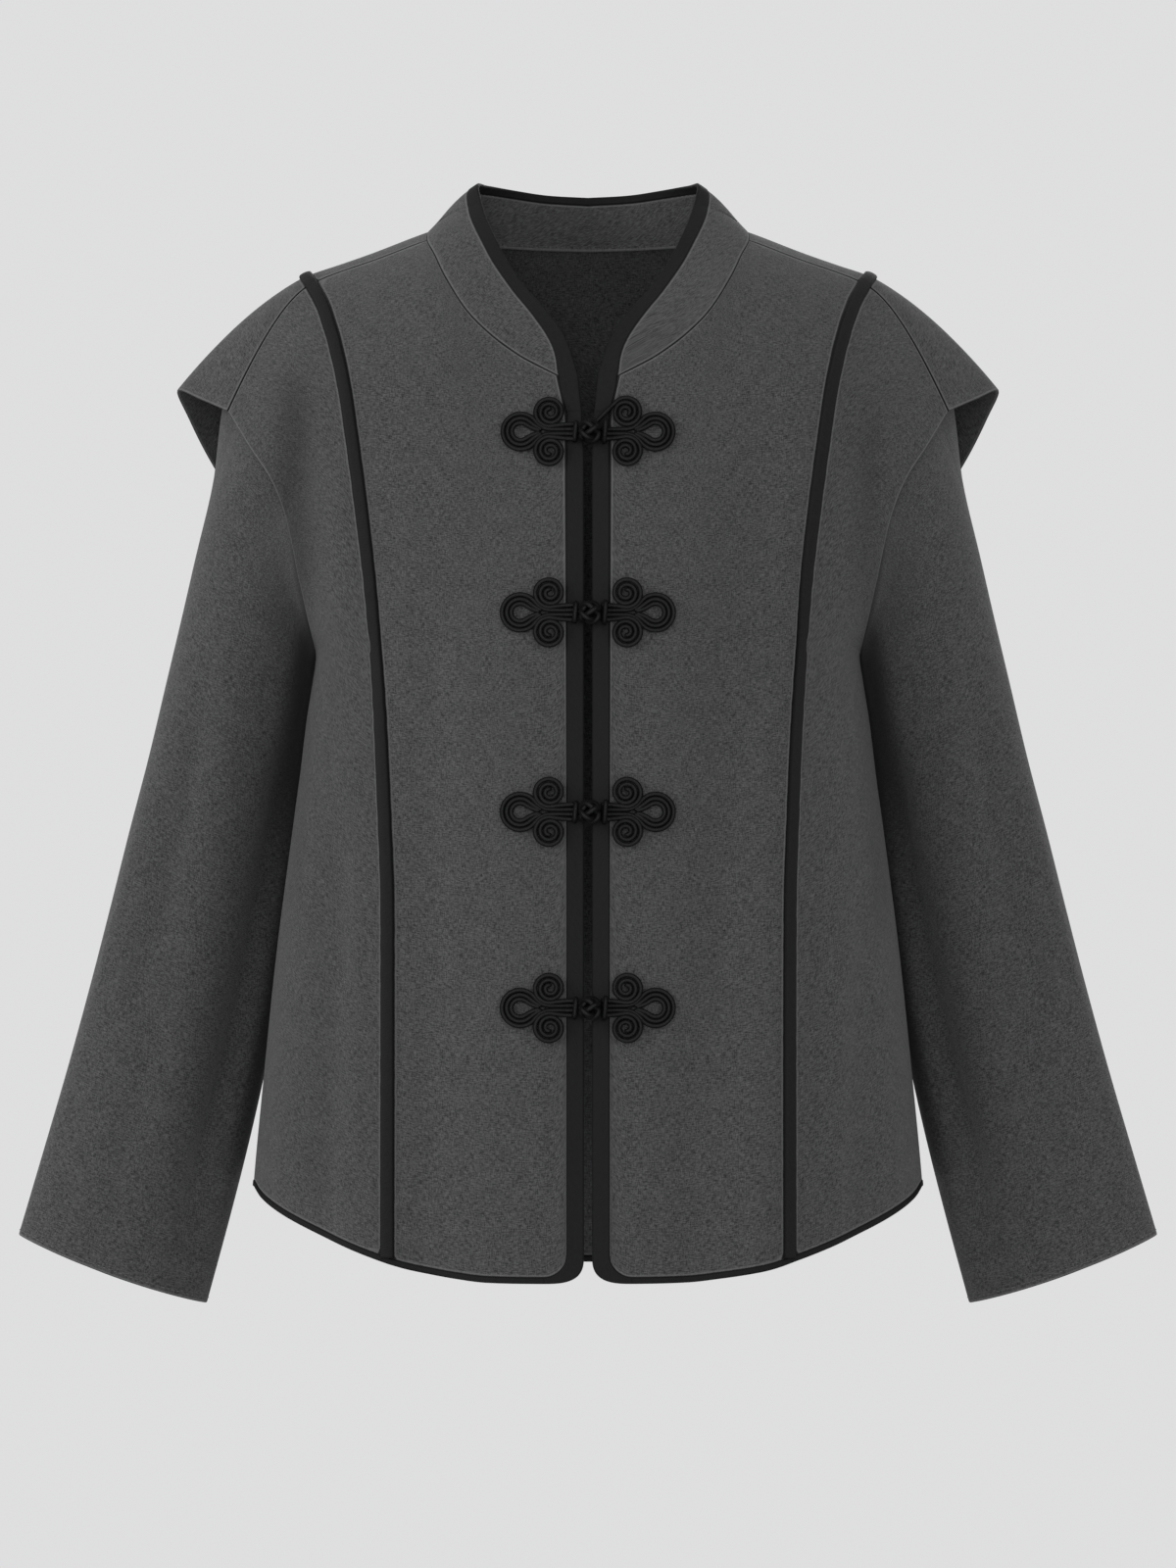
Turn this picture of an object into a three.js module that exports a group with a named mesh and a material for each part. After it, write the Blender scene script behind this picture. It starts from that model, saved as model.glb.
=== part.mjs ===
// Mandarin collar blouse with shoulder caps, bound edges and frog closures, worn form with no wearer.
// Millimetres, +Z up, front towards -Y. The origin is the middle of the neck at the shoulder points.
import * as THREE from "three";
import { mergeVertices } from "three/addons/utils/BufferGeometryUtils.js";

// Walls and seams
const CLOTH = 1.6;
const SLEEVE_CLOTH = 1.4;
const COLLAR_CLOTH = 2;
const BINDING = 2.8;
const SEAM_HALF = 0.15;
const RIDGE_SEAM_HALF = 0.5;
const LYING_GAP = 0.75;

// Front edge and hem
const FRONT_EDGE = 2.4;
const FRONT_BAND = 10.2;
const FRONT_TOP = -114;
const HEM_BAND = 3.5;
const PANEL_CORNER = 14;
const BACK_HEM_RISE = 2;
const PANEL_FOOT = -600;
const HEM_LEVEL = -620;

// Body form: squareness of the sections, and the rounding of the shoulder down from its ridge
const SQUARENESS = 2.4;
const RIDGE_Y = 15;
const SHOULDER_DROP = 85;
const SHOULDER_ROUND = 1.7;
const SHOULDER_TAPE = 100;
const SEAM_DROP = 6;
const ARMPIT = -259;

// Half width and depth of the body at each height
const BODY = [
  { z: 30, width: 215, front: 68, back: 84 },
  { z: -8, width: 215, front: 70, back: 87 },
  { z: -60, width: 215, front: 75, back: 93 },
  { z: -90, width: 215, front: 83, back: 97 },
  { z: -120, width: 212, front: 92, back: 99 },
  { z: -150, width: 206, front: 100, back: 101 },
  { z: -180, width: 195, front: 106, back: 101 },
  { z: -215, width: 180, front: 110, back: 100 },
  { z: -245, width: 168.5, front: 111.5, back: 98.5 },
  { z: ARMPIT, width: 165.6, front: 112, back: 98 },
  { z: -275, width: 167.5, front: 112.5, back: 98 },
  { z: -298, width: 171, front: 113, back: 98 },
  { z: -338, width: 176, front: 115, back: 100 },
  { z: -434, width: 189, front: 119, back: 105 },
  { z: -530, width: 199, front: 122, back: 110 },
  { z: -584, width: 204, front: 123, back: 112 },
  { z: -660, width: 209, front: 124, back: 114 },
];

// Height of the shoulder ridge away from the middle
const SHOULDER = [
  { x: 0, z: 24 },
  { x: 60, z: 12 },
  { x: 98, z: 0 },
  { x: 131, z: -12.6 },
  { x: 152, z: -20 },
  { x: 173, z: -27 },
  { x: 200, z: -38 },
];

// Princess seam, from the shoulder to the hem
const PRINCESS = [
  { z: -27, x: 172.8 },
  { z: -33, x: 169 },
  { z: -44, x: 162.5 },
  { z: -65, x: 155 },
  { z: -94, x: 148 },
  { z: -122, x: 143.5 },
  { z: -170, x: 136.7 },
  { z: -218, x: 131 },
  { z: -266, x: 127 },
  { z: -314, x: 124 },
  { z: -362, x: 122 },
  { z: -410, x: 120.5 },
  { z: -660, x: 120.5 },
];

// Inner edge of the centre panel, where the binding starts
const PANEL_EDGE = [
  { z: -88, x: 19 },
  { z: -96, x: 17.3 },
  { z: -106, x: 15 },
  { z: -118, x: 12.9 },
  { z: -130, x: 12.9 },
];

// Lowest edge of the bound hem away from the middle
const HEM = [
  { x: 0, z: -638 },
  { x: 60, z: -637.2 },
  { x: 80, z: -635 },
  { x: 99, z: -632 },
  { x: 113, z: -628.8 },
  { x: 132, z: -622.4 },
  { x: 148, z: -616 },
  { x: 163, z: -609.4 },
  { x: 177, z: -602.8 },
  { x: 189, z: -596.4 },
  { x: 198.5, z: -590 },
  { x: 204, z: -584 },
];

// Soft folds of the cloth: the line each follows, its half width, and its rise or, below zero, its depth
const FRONT_FOLDS = [
  { topX: -172, topZ: -80, endX: -170, endZ: -235, half: 13, rise: -3.5 },
  { topX: -153, topZ: -140, endX: -152, endZ: -290, half: 11, rise: 3 },
  { topX: -147, topZ: -330, endX: -160, endZ: -590, half: 12, rise: -4 },
  { topX: -136, topZ: -270, endX: -134, endZ: -610, half: 13, rise: 2.5 },
  { topX: -95, topZ: -190, endX: -97, endZ: -640, half: 16, rise: -4 },
  { topX: -42, topZ: -150, endX: -48, endZ: -640, half: 24, rise: 2.5 },
  { topX: 106, topZ: -95, endX: 66, endZ: -560, half: 18, rise: -4 },
  { topX: 112, topZ: -190, endX: 106, endZ: -620, half: 15, rise: 3 },
  { topX: 156, topZ: -120, endX: 153, endZ: -240, half: 11, rise: -3 },
  { topX: 150, topZ: -330, endX: 148, endZ: -560, half: 14, rise: 3 },
  { topX: 168, topZ: -400, endX: 160, endZ: -600, half: 12, rise: -3.5 },
];
const BACK_FOLDS = [
  { topX: -92, topZ: -230, endX: -84, endZ: -640, half: 17, rise: -4 },
  { topX: -148, topZ: -300, endX: -156, endZ: -600, half: 14, rise: 3 },
  { topX: -36, topZ: -260, endX: -34, endZ: -640, half: 20, rise: 3 },
  { topX: 22, topZ: -330, endX: 28, endZ: -640, half: 17, rise: -3 },
  { topX: 88, topZ: -210, endX: 82, endZ: -640, half: 18, rise: -4 },
  { topX: 150, topZ: -320, endX: 158, endZ: -600, half: 14, rise: -3.5 },
];
const FOLD_FADE = 70;

// Shoulder cap: each row runs from the princess seam through a control point to the free edge
const CAP_TOP = -33;
const CAP_TOP_TAPE = 14.1;
const CAP_SEAM = { ctrlX: 188, ctrlY: -12, ctrlZ: -41, edgeX: 219.5, edgeY: -24, edgeZ: -111 };
const CAP_FRONT = [
  { row: 0, princess: CAP_TOP, ...CAP_SEAM },
  { row: 1, princess: -60, ctrlX: 184, ctrlY: -42, ctrlZ: -76, edgeX: 206, edgeY: -41, edgeZ: -133 },
  { row: 2, princess: -90, ctrlX: 176, ctrlY: -60, ctrlZ: -108, edgeX: 193, edgeY: -50, edgeZ: -153 },
  { row: 3, princess: -120, ctrlX: 168, ctrlY: -71, ctrlZ: -135, edgeX: 184.5, edgeY: -52, edgeZ: -174 },
  { row: 4, princess: -150, ctrlX: 164, ctrlY: -77, ctrlZ: -163, edgeX: 179.5, edgeY: -49, edgeZ: -194 },
  { row: 5, princess: -180, ctrlX: 161, ctrlY: -76, ctrlZ: -190, edgeX: 175, edgeY: -42, edgeZ: -216 },
  { row: 6, princess: -215, ctrlX: 159, ctrlY: -71, ctrlZ: -222, edgeX: 170, edgeY: -28, edgeZ: -239 },
  { row: 7, princess: -245, ctrlX: 161, ctrlY: -62, ctrlZ: -248, edgeX: 166.5, edgeY: -10, edgeZ: -255 },
];
// Its back rows start at the seam in front of the ridge and pass over the shoulder
const CAP_BACK = [
  { row: 0, tape: CAP_TOP_TAPE, ...CAP_SEAM },
  { row: 1, tape: -1, ctrlX: 202, ctrlY: -2, ctrlZ: -44, edgeX: 237, edgeY: -5, edgeZ: -103 },
  { row: 2, tape: -12, ctrlX: 213.5, ctrlY: 20, ctrlZ: -49, edgeX: 252, edgeY: 18, edgeZ: -97 },
  { row: 3, tape: -36, ctrlX: 212, ctrlY: 43, ctrlZ: -62, edgeX: 246, edgeY: 40, edgeZ: -113 },
  { row: 4, tape: -62, ctrlX: 203, ctrlY: 59, ctrlZ: -83, edgeX: 236, edgeY: 56, edgeZ: -134 },
  { row: 5, tape: -90, ctrlX: 192, ctrlY: 71, ctrlZ: -107, edgeX: 222, edgeY: 65, edgeZ: -158 },
  { row: 6, tape: -118, ctrlX: 180, ctrlY: 77, ctrlZ: -132, edgeX: 207, edgeY: 66, edgeZ: -182 },
  { row: 7, tape: -148, ctrlX: 170, ctrlY: 78, ctrlZ: -160, edgeX: 193, edgeY: 60, edgeZ: -205 },
  { row: 8, tape: -182, ctrlX: 163, ctrlY: 75, ctrlZ: -190, edgeX: 181, edgeY: 46, edgeZ: -227 },
  { row: 9, tape: -217, ctrlX: 159, ctrlY: 68, ctrlZ: -223, edgeX: 172, edgeY: 27, edgeZ: -245 },
  { row: 10, tape: -246, ctrlX: 160, ctrlY: 59, ctrlZ: -249, edgeX: 166.6, edgeY: 9, edgeZ: -256 },
];

// Armhole line on the cap panels: how far it runs from the princess seam to the free edge
const ARMHOLE_FRONT = [
  { down: 0, share: 0.36 },
  { down: 0.25, share: 0.5 },
  { down: 0.42, share: 0.74 },
  { down: 0.56, share: 0.96 },
  { down: 0.66, share: 1 },
  { down: 1, share: 1 },
];
const ARMHOLE_BACK = [
  { down: 0, share: 0.36 },
  { down: 0.2, share: 0.34 },
  { down: 0.45, share: 0.55 },
  { down: 0.58, share: 0.86 },
  { down: 0.68, share: 1 },
  { down: 1, share: 1 },
];
const ARMHOLE_MIDDLE = { x: 182, y: 6, z: -150 };
const ARMHOLE_INSET = 2.6;
const HEAD_TUCK = 0.32;
const HEAD_TURN = 0.5;
const HEAD_LEAD = 0.4;
const HEAD_TRAIL = 0.36;

// Sleeve sections: outer and inner points, middle, half depth, and how far the inner point sits back
const SLEEVE = [
  { outX: 241, outZ: -205, inX: 171, inZ: -277, y: 11, depth: 44, twist: 4 },
  { outX: 248, outZ: -235, inX: 171, inZ: -300, y: 16, depth: 44, twist: 8 },
  { outX: 258, outZ: -276, inX: 174.5, inZ: -336, y: 23, depth: 44, twist: 11 },
  { outX: 269, outZ: -322, inX: 178, inZ: -378, y: 27, depth: 42, twist: 13 },
  { outX: 281, outZ: -368, inX: 184, inZ: -424, y: 28, depth: 39, twist: 14 },
  { outX: 293, outZ: -416, inX: 190.5, inZ: -470, y: 26, depth: 37, twist: 13 },
  { outX: 305, outZ: -463, inX: 199, inZ: -513, y: 21, depth: 35, twist: 11 },
  { outX: 318, outZ: -511, inX: 208.5, inZ: -556, y: 16, depth: 33, twist: 9 },
  { outX: 332.5, outZ: -561, inX: 220, inZ: -602, y: 12, depth: 31, twist: 7 },
  { outX: 348, outZ: -614, inX: 234.5, inZ: -656, y: 8, depth: 29, twist: 6 },
];
const CUFF_BOW = 3;
const HEAD_RINGS = 5;
// Folds along the sleeve: place round it in degrees from the outer edge by way of the front
const SLEEVE_FOLDS = [
  { around: 62, from: 0.1, to: 0.75, half: 16, rise: -4 },
  { around: 100, from: 0.25, to: 0.95, half: 18, rise: 3 },
  { around: 140, from: 0.3, to: 0.9, half: 15, rise: -4.5 },
  { around: 245, from: 0.2, to: 0.8, half: 18, rise: -4 },
];

// Neck seam and the collar's free edge, from the front tip to the middle of the back
const COLLAR = [
  { row: 0, x: 18.7, z: -91.4, face: -1, freeX: 5.9, freeY: -83, freeZ: -91.5, band: 11.3, lift: 0.2 },
  { row: 1, x: 30.6, z: -85.4, face: -1, freeX: 11.5, freeY: -76, freeZ: -73.3, band: 9.8, lift: 0.2 },
  { row: 2, x: 43, z: -78.4, face: -1, freeX: 17.4, freeY: -70, freeZ: -61.5, band: 9.2, lift: 0.3 },
  { row: 3, x: 59.3, z: -66.2, face: -1, freeX: 27.5, freeY: -61, freeZ: -48.5, band: 8.6, lift: 0.5 },
  { row: 4, x: 74.2, z: -50.8, face: -1, freeX: 38.5, freeY: -50, freeZ: -36, band: 8, lift: 0.9 },
  { row: 5, x: 86.5, z: -31, face: -1, freeX: 49.5, freeY: -37, freeZ: -19.5, band: 8, lift: 1.3 },
  { row: 6, x: 93.5, z: -16, face: -1, freeX: 56.5, freeY: -26, freeZ: -5, band: 8, lift: 1.5 },
  { row: 7, x: 98.2, z: -6.1, face: -1, freeX: 61.3, freeY: -15, freeZ: 6, band: 8, lift: 1.6 },
  { row: 8, x: 97, z: 0.3, face: 1, freeX: 64.5, freeY: -4, freeZ: 16, band: 8, lift: 1.6 },
  { row: 9, x: 93, z: -1.6, face: 1, freeX: 67, freeY: 12, freeZ: 29, band: 7, lift: 1.6 },
  { row: 10, x: 78, z: -4, face: 1, freeX: 61, freeY: 34, freeZ: 29.8, band: 6, lift: 1.6 },
  { row: 11, x: 56, z: -5, face: 1, freeX: 45, freeY: 49, freeZ: 28.1, band: 5, lift: 1.6 },
  { row: 12, x: 30, z: -6.2, face: 1, freeX: 24.5, freeY: 58.5, freeZ: 25.7, band: 4.5, lift: 1.6 },
  { row: 13, x: 0, z: -6.8, face: 1, freeX: 0, freeY: 61.5, freeZ: 24.5, band: 4.5, lift: 1.6 },
];
const NECK_POINT_ROW = 7;
const RIDGE_ROW = 8;
const COLLAR_ROUND = 0.13;

// Piping on the princess seams
const PIPING_HALF = 4.1;
const PIPING_RISE = 2.6;
const PIPING_PROFILE = [0.4, 1, 1, 0.4];

// Frog closures: heights of the knots, and the flat trefoil of coiled cord, drawn outwards from the middle
const FROG_HEIGHTS = [-125.6, -234.9, -354.7, -472.3];
const FROG_START = 8.4;
const FROG_SHANK_HALF = 4.2;
const FROG_LOBE = { x: 23, z: 11.8, radius: 10.2 };
const FROG_DROP = { x: 40.4, radius: 12.2, tip: 52.9 };
const FROG_EYE = { start: 31, end: 45, half: 3.8 };
const FROG_THICK = 3.2;
const FROG_LYING = 1.1;
const KNOT = { x: 7.6, z: 7.2, depth: 6 };
const KNOT_GAP = 0.4;

const GREY = new THREE.MeshStandardMaterial({ color: 0x57575a, roughness: 0.9, metalness: 0 });
const BLACK = new THREE.MeshStandardMaterial({ color: 0x1a1a1b, roughness: 0.7, metalness: 0 });
const CORD = new THREE.MeshStandardMaterial({ color: 0x141415, roughness: 0.55, metalness: 0 });

const blouse = new THREE.Group();

const clamp = THREE.MathUtils.clamp;
const lerp = THREE.MathUtils.lerp;
const smooth = (t) => THREE.MathUtils.smoothstep(t, 0, 1);
const even = (count, make) => Array.from({ length: count + 1 }, (_, i) => make(i / count));

// The value of a column where the key column is at a given place, smooth through the rows
function along(rows, key, at, column) {
  const last = rows.length - 1;
  const way = Math.sign(rows[last][key] - rows[0][key]);
  let i = 0;
  while (i < last - 1 && way * (at - rows[i + 1][key]) > 0) i++;
  const slope = (k) => {
    const before = rows[Math.max(k - 1, 0)];
    const after = rows[Math.min(k + 1, last)];
    return (after[column] - before[column]) / (after[key] - before[key]);
  };
  const span = rows[i + 1][key] - rows[i][key];
  const t = clamp((at - rows[i][key]) / span, 0, 1);
  const start = rows[i][column];
  const end = rows[i + 1][column];
  const a = slope(i) * span;
  const b = slope(i + 1) * span;
  return start + t * a + t * t * (3 * (end - start) - 2 * a - b) + t ** 3 * (2 * (start - end) + a + b);
}

const body = (z, column) => along(BODY, "z", z, column);
const ridge = (x) => along(SHOULDER, "x", Math.abs(x), "z");
const princess = (z) => along(PRINCESS, "z", z, "x");
const hem = (x) => along(HEM, "x", Math.abs(x), "z");
const panelEdge = (z) => along(PANEL_EDGE, "z", z, "x");

// How far the folds move the cloth outwards at a place on the front (face -1) or back (face 1)
function foldRise(face, x, z) {
  let rise = 0;
  for (const fold of face < 0 ? FRONT_FOLDS : BACK_FOLDS) {
    const t = (z - fold.topZ) / (fold.endZ - fold.topZ);
    const away = (x - lerp(fold.topX, fold.endX, clamp(t, 0, 1))) / fold.half;
    const start = smooth((fold.topZ - z) / FOLD_FADE);
    const end = fold.endZ < ARMPIT * 2 ? 1 : smooth((z - fold.endZ) / FOLD_FADE);
    rise += fold.rise * Math.exp(-away * away) * start * end;
  }
  return rise;
}

// Moves a point of the plain body form outwards, in its own section, by the folds there
function folded(face, point) {
  const width = body(point.z, "width");
  const depth = body(point.z, face < 0 ? "front" : "back");
  const nx = (Math.sign(point.x) * (Math.abs(point.x) / width) ** (SQUARENESS - 1)) / width;
  const ny = (face * (Math.abs(point.y) / depth) ** (SQUARENESS - 1)) / depth;
  const rise = foldRise(face, point.x, point.z) / Math.max(Math.hypot(nx, ny), 1e-9);
  return new THREE.Vector3(point.x + nx * rise, point.y + ny * rise, point.z);
}

// The plain form's depth for a share of the shoulder rounding
function bodyDepth(face, x, z, rounding) {
  const width = body(z, "width");
  const share = Math.min(Math.abs(x) / width, 1);
  const depth = body(z, face < 0 ? "front" : "back") * (1 - share ** SQUARENESS) ** (1 / SQUARENESS);
  return RIDGE_Y + face * (depth - face * RIDGE_Y) * rounding;
}

// A point of the body at a place and height on the front or back
function onBody(face, x, z) {
  const t = clamp((z - ridge(x) + SHOULDER_DROP) / SHOULDER_DROP, 0, 1);
  const rounding = (1 - t ** SHOULDER_ROUND) ** (1 / SHOULDER_ROUND);
  return folded(face, new THREE.Vector3(x, bodyDepth(face, x, z, rounding), z));
}

// A point of the back at a place and tape: the height up to the shoulder's rounding, and on over the ridge
function onBack(x, tape) {
  const knee = ridge(x) - SHOULDER_DROP;
  if (tape < knee) return onBody(1, x, tape);
  const angle = (((tape - knee) / SHOULDER_TAPE) * Math.PI) / 2;
  const power = 2 / SHOULDER_ROUND;
  const z = knee + SHOULDER_DROP * Math.abs(Math.sin(angle)) ** power;
  const face = Math.cos(angle) > 0 ? 1 : -1;
  const y = bodyDepth(face, x, z, Math.abs(Math.cos(angle)) ** power);
  return folded(face, new THREE.Vector3(x, y, z));
}

// The tape at which the back panel's top edge meets the front in front of the ridge
function seamTape(x) {
  const rise = ((SHOULDER_DROP - SEAM_DROP) / SHOULDER_DROP) ** (SHOULDER_ROUND / 2);
  return ridge(x) - SHOULDER_DROP + SHOULDER_TAPE * (2 - (Math.asin(rise) * 2) / Math.PI);
}

// The tape of a place and height on the back
function backTape(x, z) {
  const knee = ridge(x) - SHOULDER_DROP;
  if (z < knee) return z;
  const rise = clamp((z - knee) / SHOULDER_DROP, 0, 1) ** (SHOULDER_ROUND / 2);
  return knee + (SHOULDER_TAPE * Math.asin(rise) * 2) / Math.PI;
}

function princessBack(side, tape) {
  let x = princess(tape);
  for (let i = 0; i < 5; i++) x = princess(onBack(x, tape).z);
  return onBack(side * x, tape);
}

const princessFront = (side, z) => onBody(-1, side * princess(z), z);

const quadratic = (a, b, c, t) =>
  new THREE.Vector3(
    lerp(lerp(a.x, b.x, t), lerp(b.x, c.x, t), t),
    lerp(lerp(a.y, b.y, t), lerp(b.y, c.y, t), t),
    lerp(lerp(a.z, b.z, t), lerp(b.z, c.z, t), t),
  );

// A point of a side panel below the armpit: share 0 at the princess seam and 1 at the side seam
function onSide(side, face, share, z) {
  const start = face < 0 ? princessFront(side, z) : princessBack(side, z);
  const width = body(z, "width");
  const depth = body(z, face < 0 ? "front" : "back");
  const across = Math.abs(start.x) / width;
  const down = (depth * across ** (SQUARENESS - 1)) / width;
  const slope = down / (1 - across ** SQUARENESS) ** (1 - 1 / SQUARENESS);
  const control = new THREE.Vector3(side * width, start.y - face * slope * (width - Math.abs(start.x)), z);
  const end = new THREE.Vector3(side * width, 0, z);
  const point = quadratic(start, control, end, share);
  return share > 0 ? folded(face, point).lerp(point, 1 - smooth(share * 4)) : point;
}

// A point of the cap: row counted down from the ridge seam to the armpit
function onCap(side, face, share, row) {
  const rows = face < 0 ? CAP_FRONT : CAP_BACK;
  const last = rows.length - 1;
  const value = (column) => along(rows, "row", Math.min(row, last), column);
  const place = level(rows, face < 0 ? "princess" : "tape", row);
  const start = face < 0 ? princessFront(side, place) : princessBack(side, place);
  const control = new THREE.Vector3(side * value("ctrlX"), value("ctrlY"), value("ctrlZ"));
  const end = new THREE.Vector3(side * value("edgeX"), value("edgeY"), value("edgeZ"));
  const point = quadratic(start, control, end, share);
  const rise = foldRise(face, point.x, point.z) * smooth(share * 4) * smooth(row / 2);
  point.y += face * rise;
  return row > last && share > 0 ? point.lerp(onSide(side, face, share, ARMPIT), row - last) : point;
}

// Unit normals of a grid of points, all to the same side of it
function gridNormals(grid, ring) {
  const rows = grid.length;
  const columns = grid[0].length;
  return grid.map((line, i) =>
    line.map((point, j) => {
      const before = ring ? (j + columns - 1) % columns : Math.max(j - 1, 0);
      const after = ring ? (j + 1) % columns : Math.min(j + 1, columns - 1);
      const across = line[after].clone().sub(line[before]);
      const down = grid[Math.min(i + 1, rows - 1)][j].clone().sub(grid[Math.max(i - 1, 0)][j]);
      return across.cross(down).normalize();
    }),
  );
}

// A closed solid between two offsets of a grid: offsets count along the normals
function solidFromGrid(grid, inner, outer, ring = false) {
  const rows = grid.length;
  const columns = grid[0].length;
  const normals = gridNormals(grid, ring);
  const middle = Math.floor(rows / 2);
  const centre = Math.floor(columns / 2);
  const point = grid[middle][centre];
  const outwards = new THREE.Vector3(ring ? 0 : point.x, point.y, 0);
  const way = !ring && normals[middle][centre].dot(outwards) < 0 ? -1 : 1;
  const positions = [];
  for (const offset of [inner, outer])
    grid.forEach((line, i) =>
      line.forEach((p, j) => {
        const q = p.clone().addScaledVector(normals[i][j], way * offset(i, j));
        positions.push(q.x, q.y, q.z);
      }),
    );
  const at = (layer, i, j) => layer * rows * columns + i * columns + (j % columns);
  const index = [];
  const corner = (k) => new THREE.Vector3().fromArray(positions, 3 * k);
  const apart = (a, b) => corner(a).distanceTo(corner(b));
  const quad = (a, b, c, d) => {
    const faces = apart(a, c) <= apart(b, d) ? [a, b, c, a, c, d] : [a, b, d, b, c, d];
    index.push(...faces);
  };
  const spans = ring ? columns : columns - 1;
  for (let i = 0; i < rows - 1; i++)
    for (let j = 0; j < spans; j++) {
      quad(at(1, i, j), at(1, i, j + 1), at(1, i + 1, j + 1), at(1, i + 1, j));
      quad(at(0, i, j), at(0, i + 1, j), at(0, i + 1, j + 1), at(0, i, j + 1));
    }
  for (let j = 0; j < spans; j++) {
    quad(at(0, 0, j), at(0, 0, j + 1), at(1, 0, j + 1), at(1, 0, j));
    quad(at(1, rows - 1, j), at(1, rows - 1, j + 1), at(0, rows - 1, j + 1), at(0, rows - 1, j));
  }
  for (let i = 0; i < rows - 1 && !ring; i++) {
    quad(at(1, i, 0), at(1, i + 1, 0), at(0, i + 1, 0), at(0, i, 0));
    quad(at(0, i, columns - 1), at(0, i + 1, columns - 1), at(1, i + 1, columns - 1), at(1, i, columns - 1));
  }
  const geometry = new THREE.BufferGeometry();
  geometry.setAttribute("position", new THREE.Float32BufferAttribute(positions, 3));
  geometry.setIndex(index);
  return facingOut(geometry);
}

// Turns a closed geometry's triangles round where its volume comes out below zero
function facingOut(geometry) {
  const place = geometry.getAttribute("position");
  const index = geometry.index.array;
  const corner = (k) => new THREE.Vector3().fromBufferAttribute(place, index[k]);
  let volume = 0;
  for (let k = 0; k < index.length; k += 3) volume += corner(k).dot(corner(k + 1).cross(corner(k + 2)));
  if (volume < 0)
    for (let k = 0; k < index.length; k += 3) [index[k], index[k + 1]] = [index[k + 1], index[k]];
  geometry.computeVertexNormals();
  return geometry;
}

function addPiece(name, geometry, material) {
  const mesh = new THREE.Mesh(geometry, material);
  mesh.name = name;
  blouse.add(mesh);
}

// Moves a grid's boundary points in from a seam by a distance
function drawIn(grid, edges) {
  const rows = grid.length;
  const columns = grid[0].length;
  const move = (point, next, distance) => {
    const way = next.clone().sub(point);
    point.addScaledVector(way.normalize(), distance);
  };
  for (let i = 0; i < rows; i++) {
    move(grid[i][0], grid[i][1], edges.start ?? SEAM_HALF);
    move(grid[i][columns - 1], grid[i][columns - 2], edges.finish ?? SEAM_HALF);
  }
  for (let j = 0; j < columns; j++) {
    move(grid[0][j], grid[1][j], edges.top ?? SEAM_HALF);
    move(grid[rows - 1][j], grid[rows - 2][j], edges.bottom ?? SEAM_HALF);
  }
  return grid;
}

function addWall(name, grid, thickness, material) {
  const half = thickness / 2;
  addPiece(name, solidFromGrid(grid, () => -half, () => half), material);
}

// Panels

// Places down the front princess seam that the panels on both sides share, and tapes down the back one
const SKIRT_STATIONS = 10;
const frontRows = [0, 0.3, 0.65, 1.1, 1.7, 2.4, 3.2, 4, 4.8, 5.6, 6.4, 7.2, 8];
const backRows = [0, 0.5, 1, 1.5, 2, 2.5, 3.1, 3.8, 4.6, 5.5, 6.5, 7.5, 8.4, 9.2, 10, 11];
const skirt = even(SKIRT_STATIONS, (t) => t).slice(1);
const SEAM_FOOT = hem(princess(HEM_LEVEL)) + HEM_BAND;
const level = (rows, column, row) =>
  row > rows.length - 1
    ? lerp(rows[rows.length - 1][column], ARMPIT, row - rows.length + 1)
    : along(rows, "row", row, column);
const frontStations = [
  ...frontRows.map((row) => level(CAP_FRONT, "princess", row)),
  ...skirt.map((t) => lerp(ARMPIT, SEAM_FOOT, t)),
];
const backStations = [
  ...backRows.map((row) => level(CAP_BACK, "tape", row)),
  ...skirt.map((t) => lerp(ARMPIT, SEAM_FOOT + BACK_HEM_RISE, t)),
];

// Columns of the centre panels: neck rows of the collar, then shares of the shoulder seam
const NECK_SHARE = 0.6;
const SHOULDER_COLUMNS = 4;
const SEAM_TOP = frontStations[0];
const neckShares = even(NECK_POINT_ROW, (t) => t * NECK_SHARE);
const shoulderShares = even(SHOULDER_COLUMNS, (t) => lerp(NECK_SHARE, 1, t)).slice(1);
const CORNER_SHARES = [0.02, 0.05];
const frontShares = [0, ...CORNER_SHARES, ...neckShares.slice(1), ...shoulderShares];

// The shoulder seam that the front and the back share, from the neck point to the princess seam
function shoulderSeam(t) {
  const x = lerp(COLLAR[NECK_POINT_ROW].x, princess(SEAM_TOP), t);
  return { x, tape: lerp(seamTape(x), backStations[0], t ** 4) };
}

// The front's top edge by share of the way from the front tip of the collar to the princess seam
function frontTop(share) {
  if (share <= NECK_SHARE) {
    const row = (share / NECK_SHARE) * NECK_POINT_ROW;
    return { x: along(COLLAR, "row", row, "x"), z: along(COLLAR, "row", row, "z") };
  }
  const { x, tape } = shoulderSeam((share - NECK_SHARE) / (1 - NECK_SHARE));
  return { x, z: onBack(x, tape).z };
}

// Bottom edge of the centre panel, rounded at the front corner
function frontBottom(x) {
  const away = clamp(x - panelEdge(PANEL_FOOT), 0, PANEL_CORNER);
  const lift = PANEL_CORNER - Math.sqrt(PANEL_CORNER ** 2 - (PANEL_CORNER - away) ** 2);
  return hem(x) + HEM_BAND + lift;
}

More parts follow.
